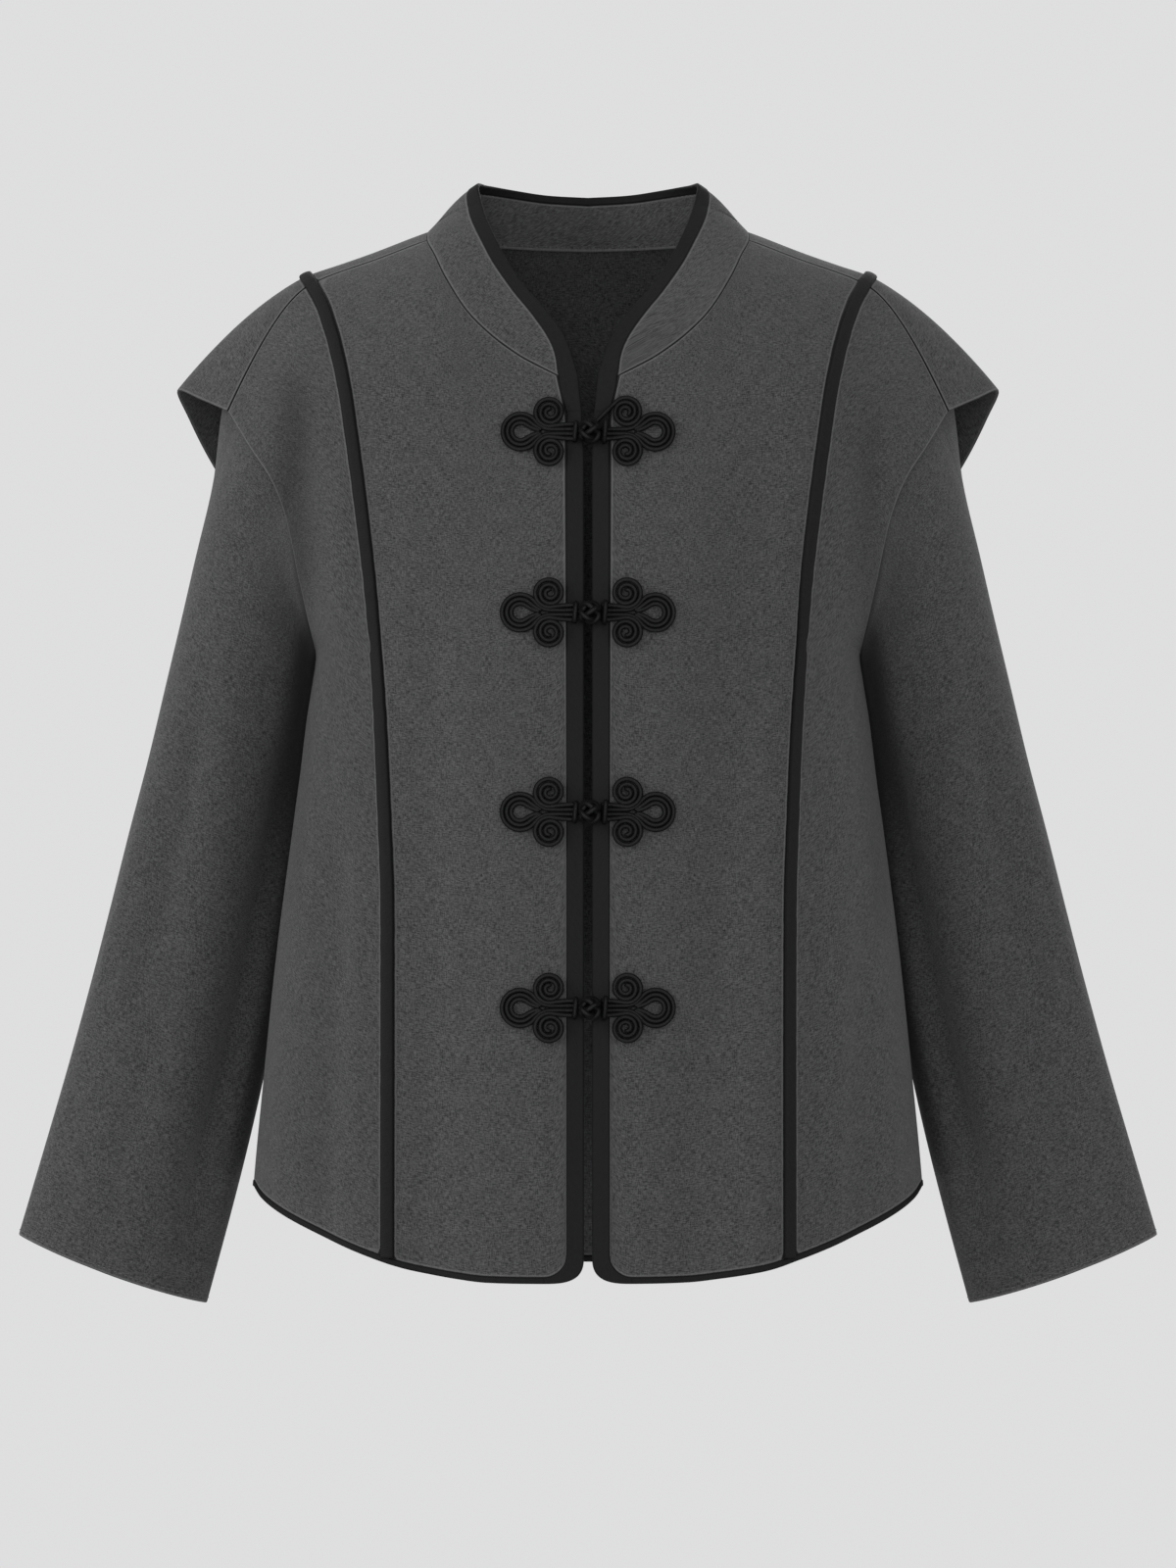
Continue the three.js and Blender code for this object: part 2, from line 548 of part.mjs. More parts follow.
const TOP_BLEND = 0.32;
function frontCentre(side) {
  return frontStations.map((station) => {
    const up = (station - SEAM_FOOT) / (SEAM_TOP - SEAM_FOOT);
    return frontShares.map((share) => {
      const top = frontTop(share);
      const foot = lerp(panelEdge(PANEL_FOOT), princess(HEM_LEVEL), share);
      const z = lerp(frontBottom(foot), top.z, up);
      const topShare = (top.x - panelEdge(top.z)) / (princess(top.z) - panelEdge(top.z));
      const turned = lerp(share, topShare, smooth((up - 1 + TOP_BLEND) / TOP_BLEND));
      const x = lerp(panelEdge(z), princess(z), turned);
      return share === 1 ? princessFront(side, station) : onBody(-1, side * x, z);
    });
  });
}

// Columns of the back by neck row of the collar: where each runs, as a share of the way to the princess seam
const BACK_COLUMNS = [
  { row: COLLAR.length - 1, share: 0 },
  { row: 12, share: 0.17 },
  { row: 11, share: 0.32 },
  { row: 10, share: 0.45 },
  { row: 9, share: 0.56 },
  { row: RIDGE_ROW, share: 0.64 },
  { row: NECK_POINT_ROW, share: 0.72 },
];
const BACK_TURN = 4;
const backNeckRows = BACK_COLUMNS.map((column) => column.row);

// A column's run and its top: on the neck seam, or a share of the way along the shoulder seam
function backNeckColumn(row) {
  const x = along(COLLAR, "row", row, "x");
  const tape = backTape(x, along(COLLAR, "row", Math.max(row, RIDGE_ROW), "z"));
  const top = { x, tape: lerp(tape, seamTape(x), clamp(RIDGE_ROW - row, 0, 1)) };
  return { share: along(BACK_COLUMNS, "row", row, "share"), top };
}
const backShoulderColumn = (t) => ({
  share: lerp(BACK_COLUMNS[BACK_COLUMNS.length - 1].share, 1, t),
  top: shoulderSeam(t),
});

function backCentre() {
  const half = [...backNeckRows.map(backNeckColumn), ...even(SHOULDER_COLUMNS, backShoulderColumn).slice(1)];
  const columns = [
    ...half.slice(1).reverse().map((column) => ({ side: -1, ...column })),
    ...half.map((column) => ({ side: 1, ...column })),
  ];
  const foot = SEAM_FOOT + BACK_HEM_RISE;
  return backStations.map((station) => {
    const up = (station - foot) / (backStations[0] - foot);
    const blend = Math.max((up - 1 + TOP_BLEND) / TOP_BLEND, 0) ** BACK_TURN;
    return columns.map(({ side, share, top }) => {
      if (share === 1) return princessBack(side, station);
      const bottom = hem(princess(HEM_LEVEL) * share) + BACK_HEM_RISE + HEM_BAND;
      const tape = lerp(bottom, top.tape, up);
      const turned = lerp(share, top.x / princess(SEAM_TOP), blend);
      return onBack(side * princess(Math.min(tape, SEAM_TOP)) * turned, tape);
    });
  });
}

// Rows of a side panel: the cap down to the armpit, then level rows to the hem
const sideShares = even(8, (t) => t);
function sidePanel(side, face) {
  const cap = (face < 0 ? frontRows : backRows).map((row) =>
    sideShares.map((share) => onCap(side, face, share, row)),
  );
  const below = skirt.map((t) =>
    sideShares.map((share) => {
      const rise = face < 0 ? 0 : BACK_HEM_RISE * (1 - share);
      const foot = share > 0 ? hem(onSide(side, face, share, PANEL_FOOT).x) + HEM_BAND : SEAM_FOOT;
      return onSide(side, face, share, lerp(ARMPIT, foot + rise, t));
    }),
  );
  return [...cap, ...below];
}

// Sleeve

function armholeRing(side, steps) {
  const half = steps / 2;
  const middle = new THREE.Vector3(side * ARMHOLE_MIDDLE.x, ARMHOLE_MIDDLE.y, ARMHOLE_MIDDLE.z);
  const plain = new THREE.Vector3(side, 0, -0.55).normalize();
  const ring = [];
  const outwards = [];
  for (let k = 0; k < steps; k++) {
    const face = k <= half ? -1 : 1;
    const down = face < 0 ? k / half : (steps - k) / half;
    const share = along(face < 0 ? ARMHOLE_FRONT : ARMHOLE_BACK, "down", down, "share");
    const row = down * (face < 0 ? CAP_FRONT : CAP_BACK).length;
    const point = onCap(side, face, share, row);
    const inwards = middle.clone().sub(point).normalize();
    const cloth = onCap(side, face, Math.min(share + 0.1, 1), row).sub(onCap(side, face, share - 0.1, row));
    cloth.normalize().addScaledVector(inwards, HEAD_TUCK);
    const below = smooth((down - HEAD_TURN) / (1 - HEAD_TURN));
    outwards.push(cloth.normalize().lerp(plain, below).normalize());
    ring.push(point.addScaledVector(inwards, ARMHOLE_INSET));
  }
  return { ring, outwards };
}

function sleeveSection(side, row, steps) {
  const value = (column) => along(SLEEVE_ROWS, "row", row, column);
  return Array.from({ length: steps }, (_, k) => {
    const angle = (k / steps) * 2 * Math.PI;
    const out = (1 + Math.cos(angle)) / 2;
    const x = lerp(value("inX"), value("outX"), out);
    const bow = row > SLEEVE.length - 2 ? CUFF_BOW * (1 - Math.cos(angle) ** 2) : 0;
    const z = lerp(value("inZ"), value("outZ"), out) - bow;
    const y = value("y") - value("twist") * Math.cos(angle) - value("depth") * Math.sin(angle);
    const shrink = sleeveFold(((angle * 180) / Math.PI), row / (SLEEVE.length - 1)) / value("depth");
    const middleX = (value("inX") + value("outX")) / 2;
    return new THREE.Vector3(
      side * lerp(middleX, x, 1 + shrink),
      lerp(value("y"), y, 1 + shrink),
      z,
    );
  });
}
const SLEEVE_ROWS = SLEEVE.map((section, row) => ({ row, ...section }));

function sleeveFold(degrees, down) {
  let rise = 0;
  for (const fold of SLEEVE_FOLDS) {
    const away = (degrees - fold.around) / fold.half;
    const length = smooth((down - fold.from) / 0.2) * smooth((fold.to - down) / 0.2);
    rise += fold.rise * Math.exp(-away * away) * length;
  }
  return rise;
}

const SLEEVE_STEPS = 20;
const SLEEVE_LENGTHS = 11;
function sleeve(side) {
  const { ring: start, outwards } = armholeRing(side, SLEEVE_STEPS);
  const first = sleeveSection(side, 0, SLEEVE_STEPS);
  const second = sleeveSection(side, 1, SLEEVE_STEPS);
  const head = even(HEAD_RINGS, (t) => t).map((t) =>
    start.map((a, k) => {
      const b = first[k];
      const down = second[k].clone().sub(b).normalize();
      const reach = a.distanceTo(b);
      const lead = a.clone().addScaledVector(outwards[k], reach * HEAD_LEAD);
      const trail = b.clone().addScaledVector(down, -reach * HEAD_TRAIL);
      return new THREE.CubicBezierCurve3(a, lead, trail, b).getPoint(t);
    }),
  );
  const arm = even(SLEEVE_LENGTHS, (t) => t).slice(1);
  return [...head, ...arm.map((t) => sleeveSection(side, t * (SLEEVE.length - 1), SLEEVE_STEPS))];
}

// Collar and bindings

function collarLine(row) {
  const value = (column) => along(COLLAR, "row", row, column);
  const face = row > NECK_POINT_ROW + 0.5 ? 1 : -1;
  const x = value("x");
  const z = Math.min(value("z"), ridge(x));
  const seam = onBody(face, x, z);
  const free = new THREE.Vector3(value("freeX"), value("freeY"), value("freeZ"));
  const length = seam.distanceTo(free);
  const bulge = length * COLLAR_ROUND * smooth((row - 5) / 3) * smooth((12 - row) / 2);
  const control = seam.clone().lerp(free, 0.5).add(new THREE.Vector3(bulge, 0, bulge));
  return { seam, control, free, length, band: value("band"), lift: value("lift") };
}

function collarPoint(line, distance) {
  const t = clamp(distance / line.length, 0, 1);
  return quadratic(line.seam, line.control, line.free, t);
}

// Rows of the collar from the right front tip round the back to the left front tip
function collarRows() {
  const last = COLLAR.length - 1;
  const right = even(last, (t) => t * last);
  const left = right.slice(0, -1).reverse();
  return [...right.map((row) => ({ row, side: 1 })), ...left.map((row) => ({ row, side: -1 }))];
}
const mirrored = (point, side) => new THREE.Vector3(side * point.x, point.y, point.z);

function collar() {
  return collarRows().map(({ row, side }) => {
    const line = collarLine(row);
    const top = line.length - line.band - 3 * SEAM_HALF;
    return even(3, (t) => mirrored(collarPoint(line, lerp(line.lift, top, t)), side));
  });
}

// The collar binding starts below the collar, along the front edge
const BINDING_FOOT = [
  { z: FRONT_TOP, edge: 13, free: 3.6 },
  { z: -104, edge: 15.2, free: 4.7 },
  { z: -97.5, edge: 16.7, free: 5.3 },
];
function collarBinding() {
  const foot = (side) =>
    BINDING_FOOT.map((row) =>
      even(2, (t) => onBody(-1, side * lerp(row.edge - 2 * SEAM_HALF, row.free, t), row.z)),
    );
  const round = collarRows().map(({ row, side }) => {
    const line = collarLine(row);
    return even(2, (t) => mirrored(collarPoint(line, line.length - line.band * (1 - t)), side));
  });
  return [...foot(1), ...round, ...foot(-1).reverse()];
}

// Front binding: its inner line follows the panel, its outer line is the free edge
const CORNER_SQUARE = 3;
const TURN_RUN = 30;
const BAND_ROWS = 16;
const CORNER_ROWS = 6;
function frontBinding(side) {
  const inner = FRONT_EDGE + FRONT_BAND;
  const cornerX = panelEdge(PANEL_FOOT) + PANEL_CORNER;
  const foot = hem(cornerX);
  const cornerZ = foot + HEM_BAND + PANEL_CORNER;
  const gap = 2 * SEAM_HALF;
  const straight = even(BAND_ROWS, (t) => {
    const z = lerp(FRONT_TOP - gap, cornerZ, t);
    const free = lerp(BINDING_FOOT[0].free, FRONT_EDGE, smooth((FRONT_TOP - z) / TURN_RUN));
    return [inner, z, free, z];
  });
  const corner = even(CORNER_ROWS, (t) => t).slice(1).map((t) => {
    const angle = (t * Math.PI) / 2;
    const power = 2 / CORNER_SQUARE;
    return [
      cornerX - (cornerX - inner) * Math.cos(angle),
      cornerZ - (cornerZ - foot - HEM_BAND + gap) * Math.sin(angle),
      cornerX - (cornerX - FRONT_EDGE) * Math.abs(Math.cos(angle)) ** power,
      cornerZ - (cornerZ - foot) * Math.sin(angle) ** power,
    ];
  });
  return [...straight, ...corner].map(([x, z, freeX, freeZ]) =>
    even(2, (t) => onBody(-1, side * lerp(x, freeX, t), lerp(z, freeZ, t))),
  );
}

// Hem binding: places along the hem from the right front corner round the back to the left one
const FRONT_HEM_STEPS = 8;
const BACK_HEM_STEPS = 20;
function hemBinding() {
  const gap = 2 * SEAM_HALF;
  const cornerX = panelEdge(PANEL_FOOT) + PANEL_CORNER + gap;
  const strip = (make, rise = 0) => [HEM_BAND - gap, HEM_BAND / 2, 0].map((up) => make(up + rise));
  const front = (side) => (t) => {
    const x = lerp(cornerX, princess(HEM_LEVEL), t);
    return strip((up) => onBody(-1, side * x, hem(x) + up));
  };
  const flank = (side, face) => (t) => {
    const foot = hem(onSide(side, face, t, PANEL_FOOT).x);
    return strip((up) => onSide(side, face, t, foot + up), face < 0 ? 0 : BACK_HEM_RISE * (1 - t));
  };
  const back = (t) => {
    const x = lerp(princess(HEM_LEVEL), -princess(HEM_LEVEL), t);
    return strip((up) => onBody(1, x, hem(x) + up), BACK_HEM_RISE);
  };
  return [
    ...even(FRONT_HEM_STEPS, front(1)),
    ...sideShares.map(flank(1, -1)).slice(1),
    ...sideShares.map(flank(1, 1)).reverse().slice(1),
    ...even(BACK_HEM_STEPS, back).slice(1),
    ...sideShares.map(flank(-1, 1)).slice(1),
    ...sideShares.map(flank(-1, -1)).reverse().slice(1),
    ...even(FRONT_HEM_STEPS, front(-1)).reverse().slice(1),
  ];
}

// Piping over the princess seam, raised from the points of the panels on both sides of it
const PIPING_END = 1.4;
const BESIDE = 0.04;
function pipingLine(side, face, row, station) {
  const seam = face < 0 ? princessFront(side, station) : princessBack(side, station);
  const beside = row === null ? onSide(side, face, BESIDE, station) : onCap(side, face, BESIDE, row);
  const outer = beside.sub(seam).normalize();
  const x = Math.abs(seam.x) - PIPING_HALF;
  const inner = face < 0 ? onBody(-1, side * x, station) : onBack(side * x, station);
  inner.sub(seam).normalize();
  const reach = PIPING_HALF / 2;
  return [
    seam.clone().addScaledVector(inner, 2 * reach),
    seam.clone().addScaledVector(inner, reach),
    seam.clone().addScaledVector(outer, reach),
    seam.clone().addScaledVector(outer, 2 * reach),
  ];
}

function piping(side) {
  const lines = (face, rows, stations) =>
    stations.map((station, i) => {
      const last = i === stations.length - 1;
      return pipingLine(side, face, i < rows.length ? rows[i] : null, station + (last ? PIPING_END : 0));
    });
  const front = lines(-1, frontRows, frontStations).reverse();
  const back = lines(1, backRows, backStations);
  return [...front.slice(0, -1), ...back];
}

// Frogs

// Half of a frog's outline, drawn to the right from its start beside the knot
function frogShape() {
  const shape = new THREE.Shape();
  const { x, z, radius } = FROG_LOBE;
  const steps = 18;
  const top = [new THREE.Vector2(FROG_START, FROG_SHANK_HALF)];
  const arc = (cx, cz, r, from, to, count) => {
    for (let i = 0; i <= count; i++) {
      const angle = THREE.MathUtils.degToRad(lerp(from, to, i / count));
      top.push(new THREE.Vector2(cx + r * Math.cos(angle), cz + r * Math.sin(angle)));
    }
  };
  arc(x, z, radius, 215, 5, steps);
  arc(FROG_DROP.x, 0, FROG_DROP.radius, 112, 38, 5);
  const lower = top.map((p) => new THREE.Vector2(p.x, -p.y)).reverse();
  shape.setFromPoints([...top, new THREE.Vector2(FROG_DROP.tip, 0), ...lower]);
  const eye = new THREE.Path();
  eye.setFromPoints([
    new THREE.Vector2(FROG_EYE.start, 0),
    new THREE.Vector2(lerp(FROG_EYE.start, FROG_EYE.end, 0.5), -FROG_EYE.half * 0.8),
    new THREE.Vector2(lerp(FROG_EYE.start, FROG_EYE.end, 0.85), -FROG_EYE.half),
    new THREE.Vector2(FROG_EYE.end, 0),
    new THREE.Vector2(lerp(FROG_EYE.start, FROG_EYE.end, 0.85), FROG_EYE.half),
    new THREE.Vector2(lerp(FROG_EYE.start, FROG_EYE.end, 0.5), FROG_EYE.half * 0.8),
  ]);
  shape.holes.push(eye);
  return shape;
}

// Lays a flat frog half on the front: its plan becomes place and height, its thickness stands off the cloth
function frogHalf(side, height) {
  const settings = { depth: FROG_THICK, bevelEnabled: false, curveSegments: 6 };
  const flat = new THREE.ExtrudeGeometry(frogShape(), settings);
  flat.deleteAttribute("normal");
  flat.deleteAttribute("uv");
  const geometry = mergeVertices(flat, 1e-4);
  const place = geometry.getAttribute("position");
  const rest = CLOTH / 2 + FROG_LYING;
  for (let i = 0; i < place.count; i++) {
    const point = onBody(-1, side * place.getX(i), height + place.getY(i));
    place.setXYZ(i, point.x, point.y - rest - place.getZ(i), point.z);
  }
  return facingOut(geometry);
}

function knot(height) {
  const ball = new THREE.SphereGeometry(1, 12, 8);
  ball.deleteAttribute("normal");
  ball.deleteAttribute("uv");
  const geometry = mergeVertices(ball, 1e-4);
  const edge = onBody(-1, FRONT_EDGE, height).y - BINDING / 2;
  const round = KNOT.depth * (1 - Math.sqrt(1 - (FRONT_EDGE / KNOT.x) ** 2));
  const seat = edge + round - KNOT_GAP;
  geometry.scale(KNOT.x, KNOT.depth, KNOT.z);
  geometry.translate(0, seat - KNOT.depth, height);
  return facingOut(geometry);
}

// Assembly
for (const [name, side] of [["left", -1], ["right", 1]]) {
  addWall("front_center_" + name, drawIn(frontCentre(side), {}), CLOTH, GREY);
  addWall("front_side_" + name, drawIn(sidePanel(side, -1), { top: RIDGE_SEAM_HALF }), CLOTH, GREY);
  addWall("back_side_" + name, drawIn(sidePanel(side, 1), { top: RIDGE_SEAM_HALF }), CLOTH, GREY);
  const tube = sleeve(side);
  const half = SLEEVE_CLOTH / 2;
  addPiece("sleeve_" + name, solidFromGrid(tube, () => -half, () => half, true), GREY);
  addWall("binding_front_" + name, frontBinding(side), BINDING, BLACK);
  const base = CLOTH / 2 + LYING_GAP;
  const raised = (i, j) => base + PIPING_RISE * PIPING_PROFILE[j];
  addPiece("piping_" + name, solidFromGrid(piping(side), () => base, raised), BLACK);
}
addWall("back_center", drawIn(backCentre(), {}), CLOTH, GREY);
addWall("collar", collar(), COLLAR_CLOTH, GREY);
addWall("binding_collar", collarBinding(), BINDING, BLACK);
addWall("binding_hem", hemBinding(), BINDING, BLACK);
FROG_HEIGHTS.forEach((height, i) => {
  addPiece(`frog_${i + 1}_left`, frogHalf(-1, height), CORD);
  addPiece(`frog_${i + 1}_right`, frogHalf(1, height), CORD);
  addPiece(`frog_${i + 1}_knot`, knot(height), CORD);
});

export default blouse;
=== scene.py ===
# Mandarin collar blouse: grey cloth shells with black bindings, piping and corded frog closures.
# The blouse's own sizes are in millimetres, in the frame's axes; meshes are made in metres.
import math

import bpy
import numpy as np
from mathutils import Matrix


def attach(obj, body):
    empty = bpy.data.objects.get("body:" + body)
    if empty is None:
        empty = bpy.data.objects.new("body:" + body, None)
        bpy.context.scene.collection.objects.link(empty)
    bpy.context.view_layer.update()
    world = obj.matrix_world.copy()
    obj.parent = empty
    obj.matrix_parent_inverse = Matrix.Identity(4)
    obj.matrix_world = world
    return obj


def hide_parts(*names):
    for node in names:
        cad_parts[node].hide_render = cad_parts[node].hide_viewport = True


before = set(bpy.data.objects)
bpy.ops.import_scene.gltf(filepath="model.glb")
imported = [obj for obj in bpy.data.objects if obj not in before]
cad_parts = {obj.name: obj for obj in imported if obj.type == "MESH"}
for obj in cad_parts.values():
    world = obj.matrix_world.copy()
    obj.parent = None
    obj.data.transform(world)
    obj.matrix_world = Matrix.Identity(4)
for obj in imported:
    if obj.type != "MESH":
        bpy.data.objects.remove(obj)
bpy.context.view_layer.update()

MM = 0.001

# Walls, seams and edges
CLOTH = 1.5
SLEEVE_CLOTH = 1.3
COLLAR_CLOTH = 1.9
BINDING = 2.6
SEAM_HALF = 0.15
RIDGE_SEAM_HALF = 0.5
LYING_GAP = 0.3
WRAP = 0.5
LAP = 1.2
EDGE_ROUND = 0.8
EDGE_COLUMNS = (0.25, 0.7, 1.4)

# Front edge and hem
FRONT_EDGE = 2.4
FRONT_BAND = 10.2
FRONT_TOP = -114
HEM_BAND = 3.5
PANEL_CORNER = 14
BACK_HEM_RISE = 2
PANEL_FOOT = -600
HEM_LEVEL = -620

# Body form
SQUARENESS = 2.4
RIDGE_Y = 15
SHOULDER_DROP = 85
SHOULDER_ROUND = 1.7
SHOULDER_TAPE = 100
SEAM_DROP = 6
ARMPIT = -259


def table(names, rows):
    """A short table with named columns, as one array a column."""
    columns = zip(*rows)
    return {name: np.array(column, float) for name, column in zip(names.split(), columns)}


# Half width and depth of the body at each height
BODY = table("z width front back", [
    (30, 215, 68, 84),
    (-8, 215, 70, 87),
    (-60, 215, 75, 93),
    (-90, 215, 83, 97),
    (-120, 212, 92, 99),
    (-150, 206, 100, 101),
    (-180, 195, 106, 101),
    (-215, 180, 110, 100),
    (-245, 168.5, 111.5, 98.5),
    (ARMPIT, 165.6, 112, 98),
    (-275, 167.5, 112.5, 98),
    (-298, 171, 113, 98),
    (-338, 176, 115, 100),
    (-434, 189, 119, 105),
    (-530, 199, 122, 110),
    (-584, 204, 123, 112),
    (-660, 209, 124, 114),
])

# Height of the shoulder ridge away from the middle
SHOULDER = table("x z", [(0, 24), (60, 12), (98, 0), (131, -12.6), (152, -20), (173, -27), (200, -38)])

# Princess seam, from the shoulder to the hem
PRINCESS = table("z x", [
    (-27, 172.8),
    (-33, 169),
    (-44, 162.5),
    (-65, 155),
    (-94, 148),
    (-122, 143.5),
    (-170, 136.7),
    (-218, 131),
    (-266, 127),
    (-314, 124),
    (-362, 122),
    (-410, 120.5),
    (-660, 120.5),
])

# Inner edge of the centre panel, where the binding starts
PANEL_EDGE = table("z x", [(-88, 19), (-96, 17.3), (-106, 15), (-118, 12.9), (-130, 12.9)])

# Lowest edge of the bound hem away from the middle
HEM = table("x z", [
    (0, -638),
    (60, -637.2),
    (80, -635),
    (99, -632),
    (113, -628.8),
    (132, -622.4),
    (148, -616),
    (163, -609.4),
    (177, -602.8),
    (189, -596.4),
    (198.5, -590),
    (204, -584),
])

# Soft folds: the line each follows, its half width, and its rise or, below zero, its depth
FRONT_FOLDS = table("top_x top_z end_x end_z half rise", [
    (-178, -95, -176, -215, 13, -9),
    (-153, -140, -152, -290, 11, 3),
    (-147, -330, -160, -590, 12, -4),
    (-136, -270, -134, -610, 13, 2.5),
    (-95, -190, -97, -640, 16, -4),
    (-42, -150, -48, -640, 24, 2.5),
    (106, -95, 66, -560, 18, -4),
    (112, -190, 106, -620, 15, 3),
    (170, -110, 166, -215, 12, -6),
    (150, -330, 148, -560, 14, 3),
    (168, -400, 160, -600, 12, -3.5),
])
BACK_FOLDS = table("top_x top_z end_x end_z half rise", [
    (-92, -230, -84, -640, 17, -4),
    (-148, -300, -156, -600, 14, 3),
    (-36, -260, -34, -640, 20, 3),
    (22, -330, 28, -640, 17, -3),
    (88, -210, 82, -640, 18, -4),
    (150, -320, 158, -600, 14, -3.5),
])
FOLD_FADE = 70
# A fold that ends below this height runs on to the hem without fading
OPEN_END = 2 * ARMPIT

# Small creases that only the cloth's own surface has
FINE_FOLDS = table("face top_x top_z end_x end_z half rise", [
    (-1, -118, -130, -70, -330, 9, 0.7),
    (-1, -60, -330, -84, -600, 8, -0.7),
    (-1, -28, -420, -30, -630, 7, 0.6),
    (-1, -112, -420, -108, -636, 7, 0.7),
    (-1, -162, -250, -176, -470, 7, 0.8),
    (-1, 60, -180, 34, -420, 9, 0.7),
    (-1, 84, -400, 92, -630, 8, -0.7),
    (-1, 30, -450, 34, -632, 7, 0.5),
    (-1, 162, -260, 178, -500, 7, 0.8),
    (-1, 140, -440, 136, -610, 7, -0.6),
    (1, -60, -60, -110, -230, 9, 0.8),
    (1, 64, -70, 112, -250, 9, 0.8),
    (1, -60, -400, -58, -630, 8, -0.6),
    (1, 54, -420, 52, -630, 8, 0.7),
    (1, -170, -300, -180, -560, 8, 0.7),
    (1, 172, -310, 180, -550, 8, 0.7),
])
FINE_FADE = 60
PUCKER = 0.3
PUCKER_PITCH = 17
PUCKER_REACH = 9

# Shoulder cap: each row runs from the princess seam through a control point to the free edge
CAP_TOP = -33
CAP_TOP_TAPE = 14.1
CAP_FRONT = table("row princess ctrl_x ctrl_y ctrl_z edge_x edge_y edge_z", [
    (0, CAP_TOP, 188, -12, -41, 219.5, -24, -111),
    (1, -60, 184, -42, -76, 206, -41, -133),
    (2, -90, 176, -60, -108, 193, -50, -153),
    (3, -120, 168, -71, -135, 184.5, -52, -174),
    (4, -150, 164, -77, -163, 179.5, -49, -194),
    (5, -180, 161, -76, -190, 175, -42, -216),
    (6, -215, 159, -71, -222, 170, -28, -239),
    (7, -245, 161, -62, -248, 166.5, -10, -255),
])
# Its back rows start at the seam in front of the ridge and pass over the shoulder
CAP_BACK = table("row tape ctrl_x ctrl_y ctrl_z edge_x edge_y edge_z", [
    (0, CAP_TOP_TAPE, 188, -12, -41, 219.5, -24, -111),
    (1, -1, 202, -2, -44, 237, -5, -103),
    (2, -12, 213.5, 20, -49, 252, 18, -97),
    (3, -36, 212, 43, -62, 246, 40, -113),
    (4, -62, 203, 59, -83, 236, 56, -134),
    (5, -90, 192, 71, -107, 222, 65, -158),
    (6, -118, 180, 77, -132, 207, 66, -182),
    (7, -148, 170, 78, -160, 193, 60, -205),
    (8, -182, 163, 75, -190, 181, 46, -227),
    (9, -217, 159, 68, -223, 172, 27, -245),
    (10, -246, 160, 59, -249, 166.6, 9, -256),
])

# Armhole line on the cap panels: how far it runs from the princess seam to the free edge
ARMHOLE_FRONT = table("down share", [(0, 0.36), (0.25, 0.5), (0.42, 0.74), (0.56, 0.96), (0.66, 1), (1, 1)])
ARMHOLE_BACK = table("down share", [(0, 0.36), (0.2, 0.34), (0.45, 0.55), (0.58, 0.86), (0.68, 1), (1, 1)])
ARMHOLE_MIDDLE = (182, 6, -150)
ARMHOLE_INSET = 2.6
HEAD_TUCK = 0.32
HEAD_TURN = 0.5
HEAD_LEAD = 0.35
HEAD_TRAIL = 0.36

# Sleeve sections: outer and inner points, middle, half depth, and how far the inner point sits back
SLEEVE = table("row out_x out_z in_x in_z y depth twist", [
    (0, 241, -205, 167, -277, 11, 44, 8),
    (1, 248, -235, 170, -300, 16, 44, 10),
    (2, 258, -276, 174.5, -336, 23, 44, 11),
    (3, 269, -322, 178, -378, 27, 42, 13),
    (4, 281, -368, 184, -424, 28, 39, 14),
    (5, 293, -416, 190.5, -470, 26, 37, 13),
    (6, 305, -463, 199, -513, 21, 35, 11),
    (7, 318, -511, 208.5, -556, 16, 33, 9),
    (8, 332.5, -561, 220, -602, 12, 31, 7),
    (9, 348, -614, 234.5, -656, 8, 29, 6),
])
LAST_SECTION = 9
CUFF_BOW = 3
# Folds along the sleeve: place round it in degrees from the outer edge by way of the front
SLEEVE_FOLDS = table("around start stop half rise", [
    (62, 0.1, 0.75, 16, -4),
    (100, 0.25, 0.95, 18, 3),
    (134, 0.12, 1.0, 16, -8),
    (245, 0.2, 0.8, 18, -4),
    (80, 0.5, 1.1, 9, -1),
    (120, 0.05, 0.5, 10, 1.2),
    (28, 0.3, 0.8, 10, 1),
    (290, 0.3, 0.95, 12, 1.4),
    (210, 0.35, 1.0, 11, 1.2),
])

# Neck seam and the collar's free edge, from the front tip to the middle of the back
COLLAR = table("row x z free_x free_y free_z band", [
    (0, 18.7, -91.4, 5.9, -83, -91.5, 11.3),
    (1, 30.6, -85.4, 11.5, -76, -73.3, 9.8),
    (2, 43, -78.4, 17.4, -70, -61.5, 9.2),
    (3, 59.3, -66.2, 27.5, -61, -48.5, 8.6),
    (4, 74.2, -50.8, 38.5, -50, -36, 8),
    (5, 86.5, -31, 49.5, -37, -19.5, 8),
    (6, 93.5, -16, 56.5, -26, -5, 8),
    (7, 98.2, -6.1, 61.3, -15, 6, 8),
    (8, 97, 0.3, 64.5, -4, 16, 8),
    (9, 93, -1.6, 67, 12, 29, 7),
    (10, 78, -4, 61, 34, 29.8, 6),
    (11, 56, -5, 45, 49, 28.1, 5),
    (12, 30, -6.2, 24.5, 58.5, 25.7, 4.5),
    (13, 0, -6.8, 0, 61.5, 24.5, 4.5),
])
NECK_POINT_ROW = 7
RIDGE_ROW = 8
BACK_MIDDLE_ROW = 13
COLLAR_ROUND = 0.13
TUCK = 0.8
TUCK_IN = 1.9

# Piping on the princess seams
PIPING_HALF = 4.1
PIPING_RISE = 2.2
PIPING_END = 0.3

# Frog closures
FROG_HEIGHTS = (-125.6, -234.9, -354.7, -472.3)


def clamp(value, low=0.0, high=1.0):
    return np.clip(value, low, high)


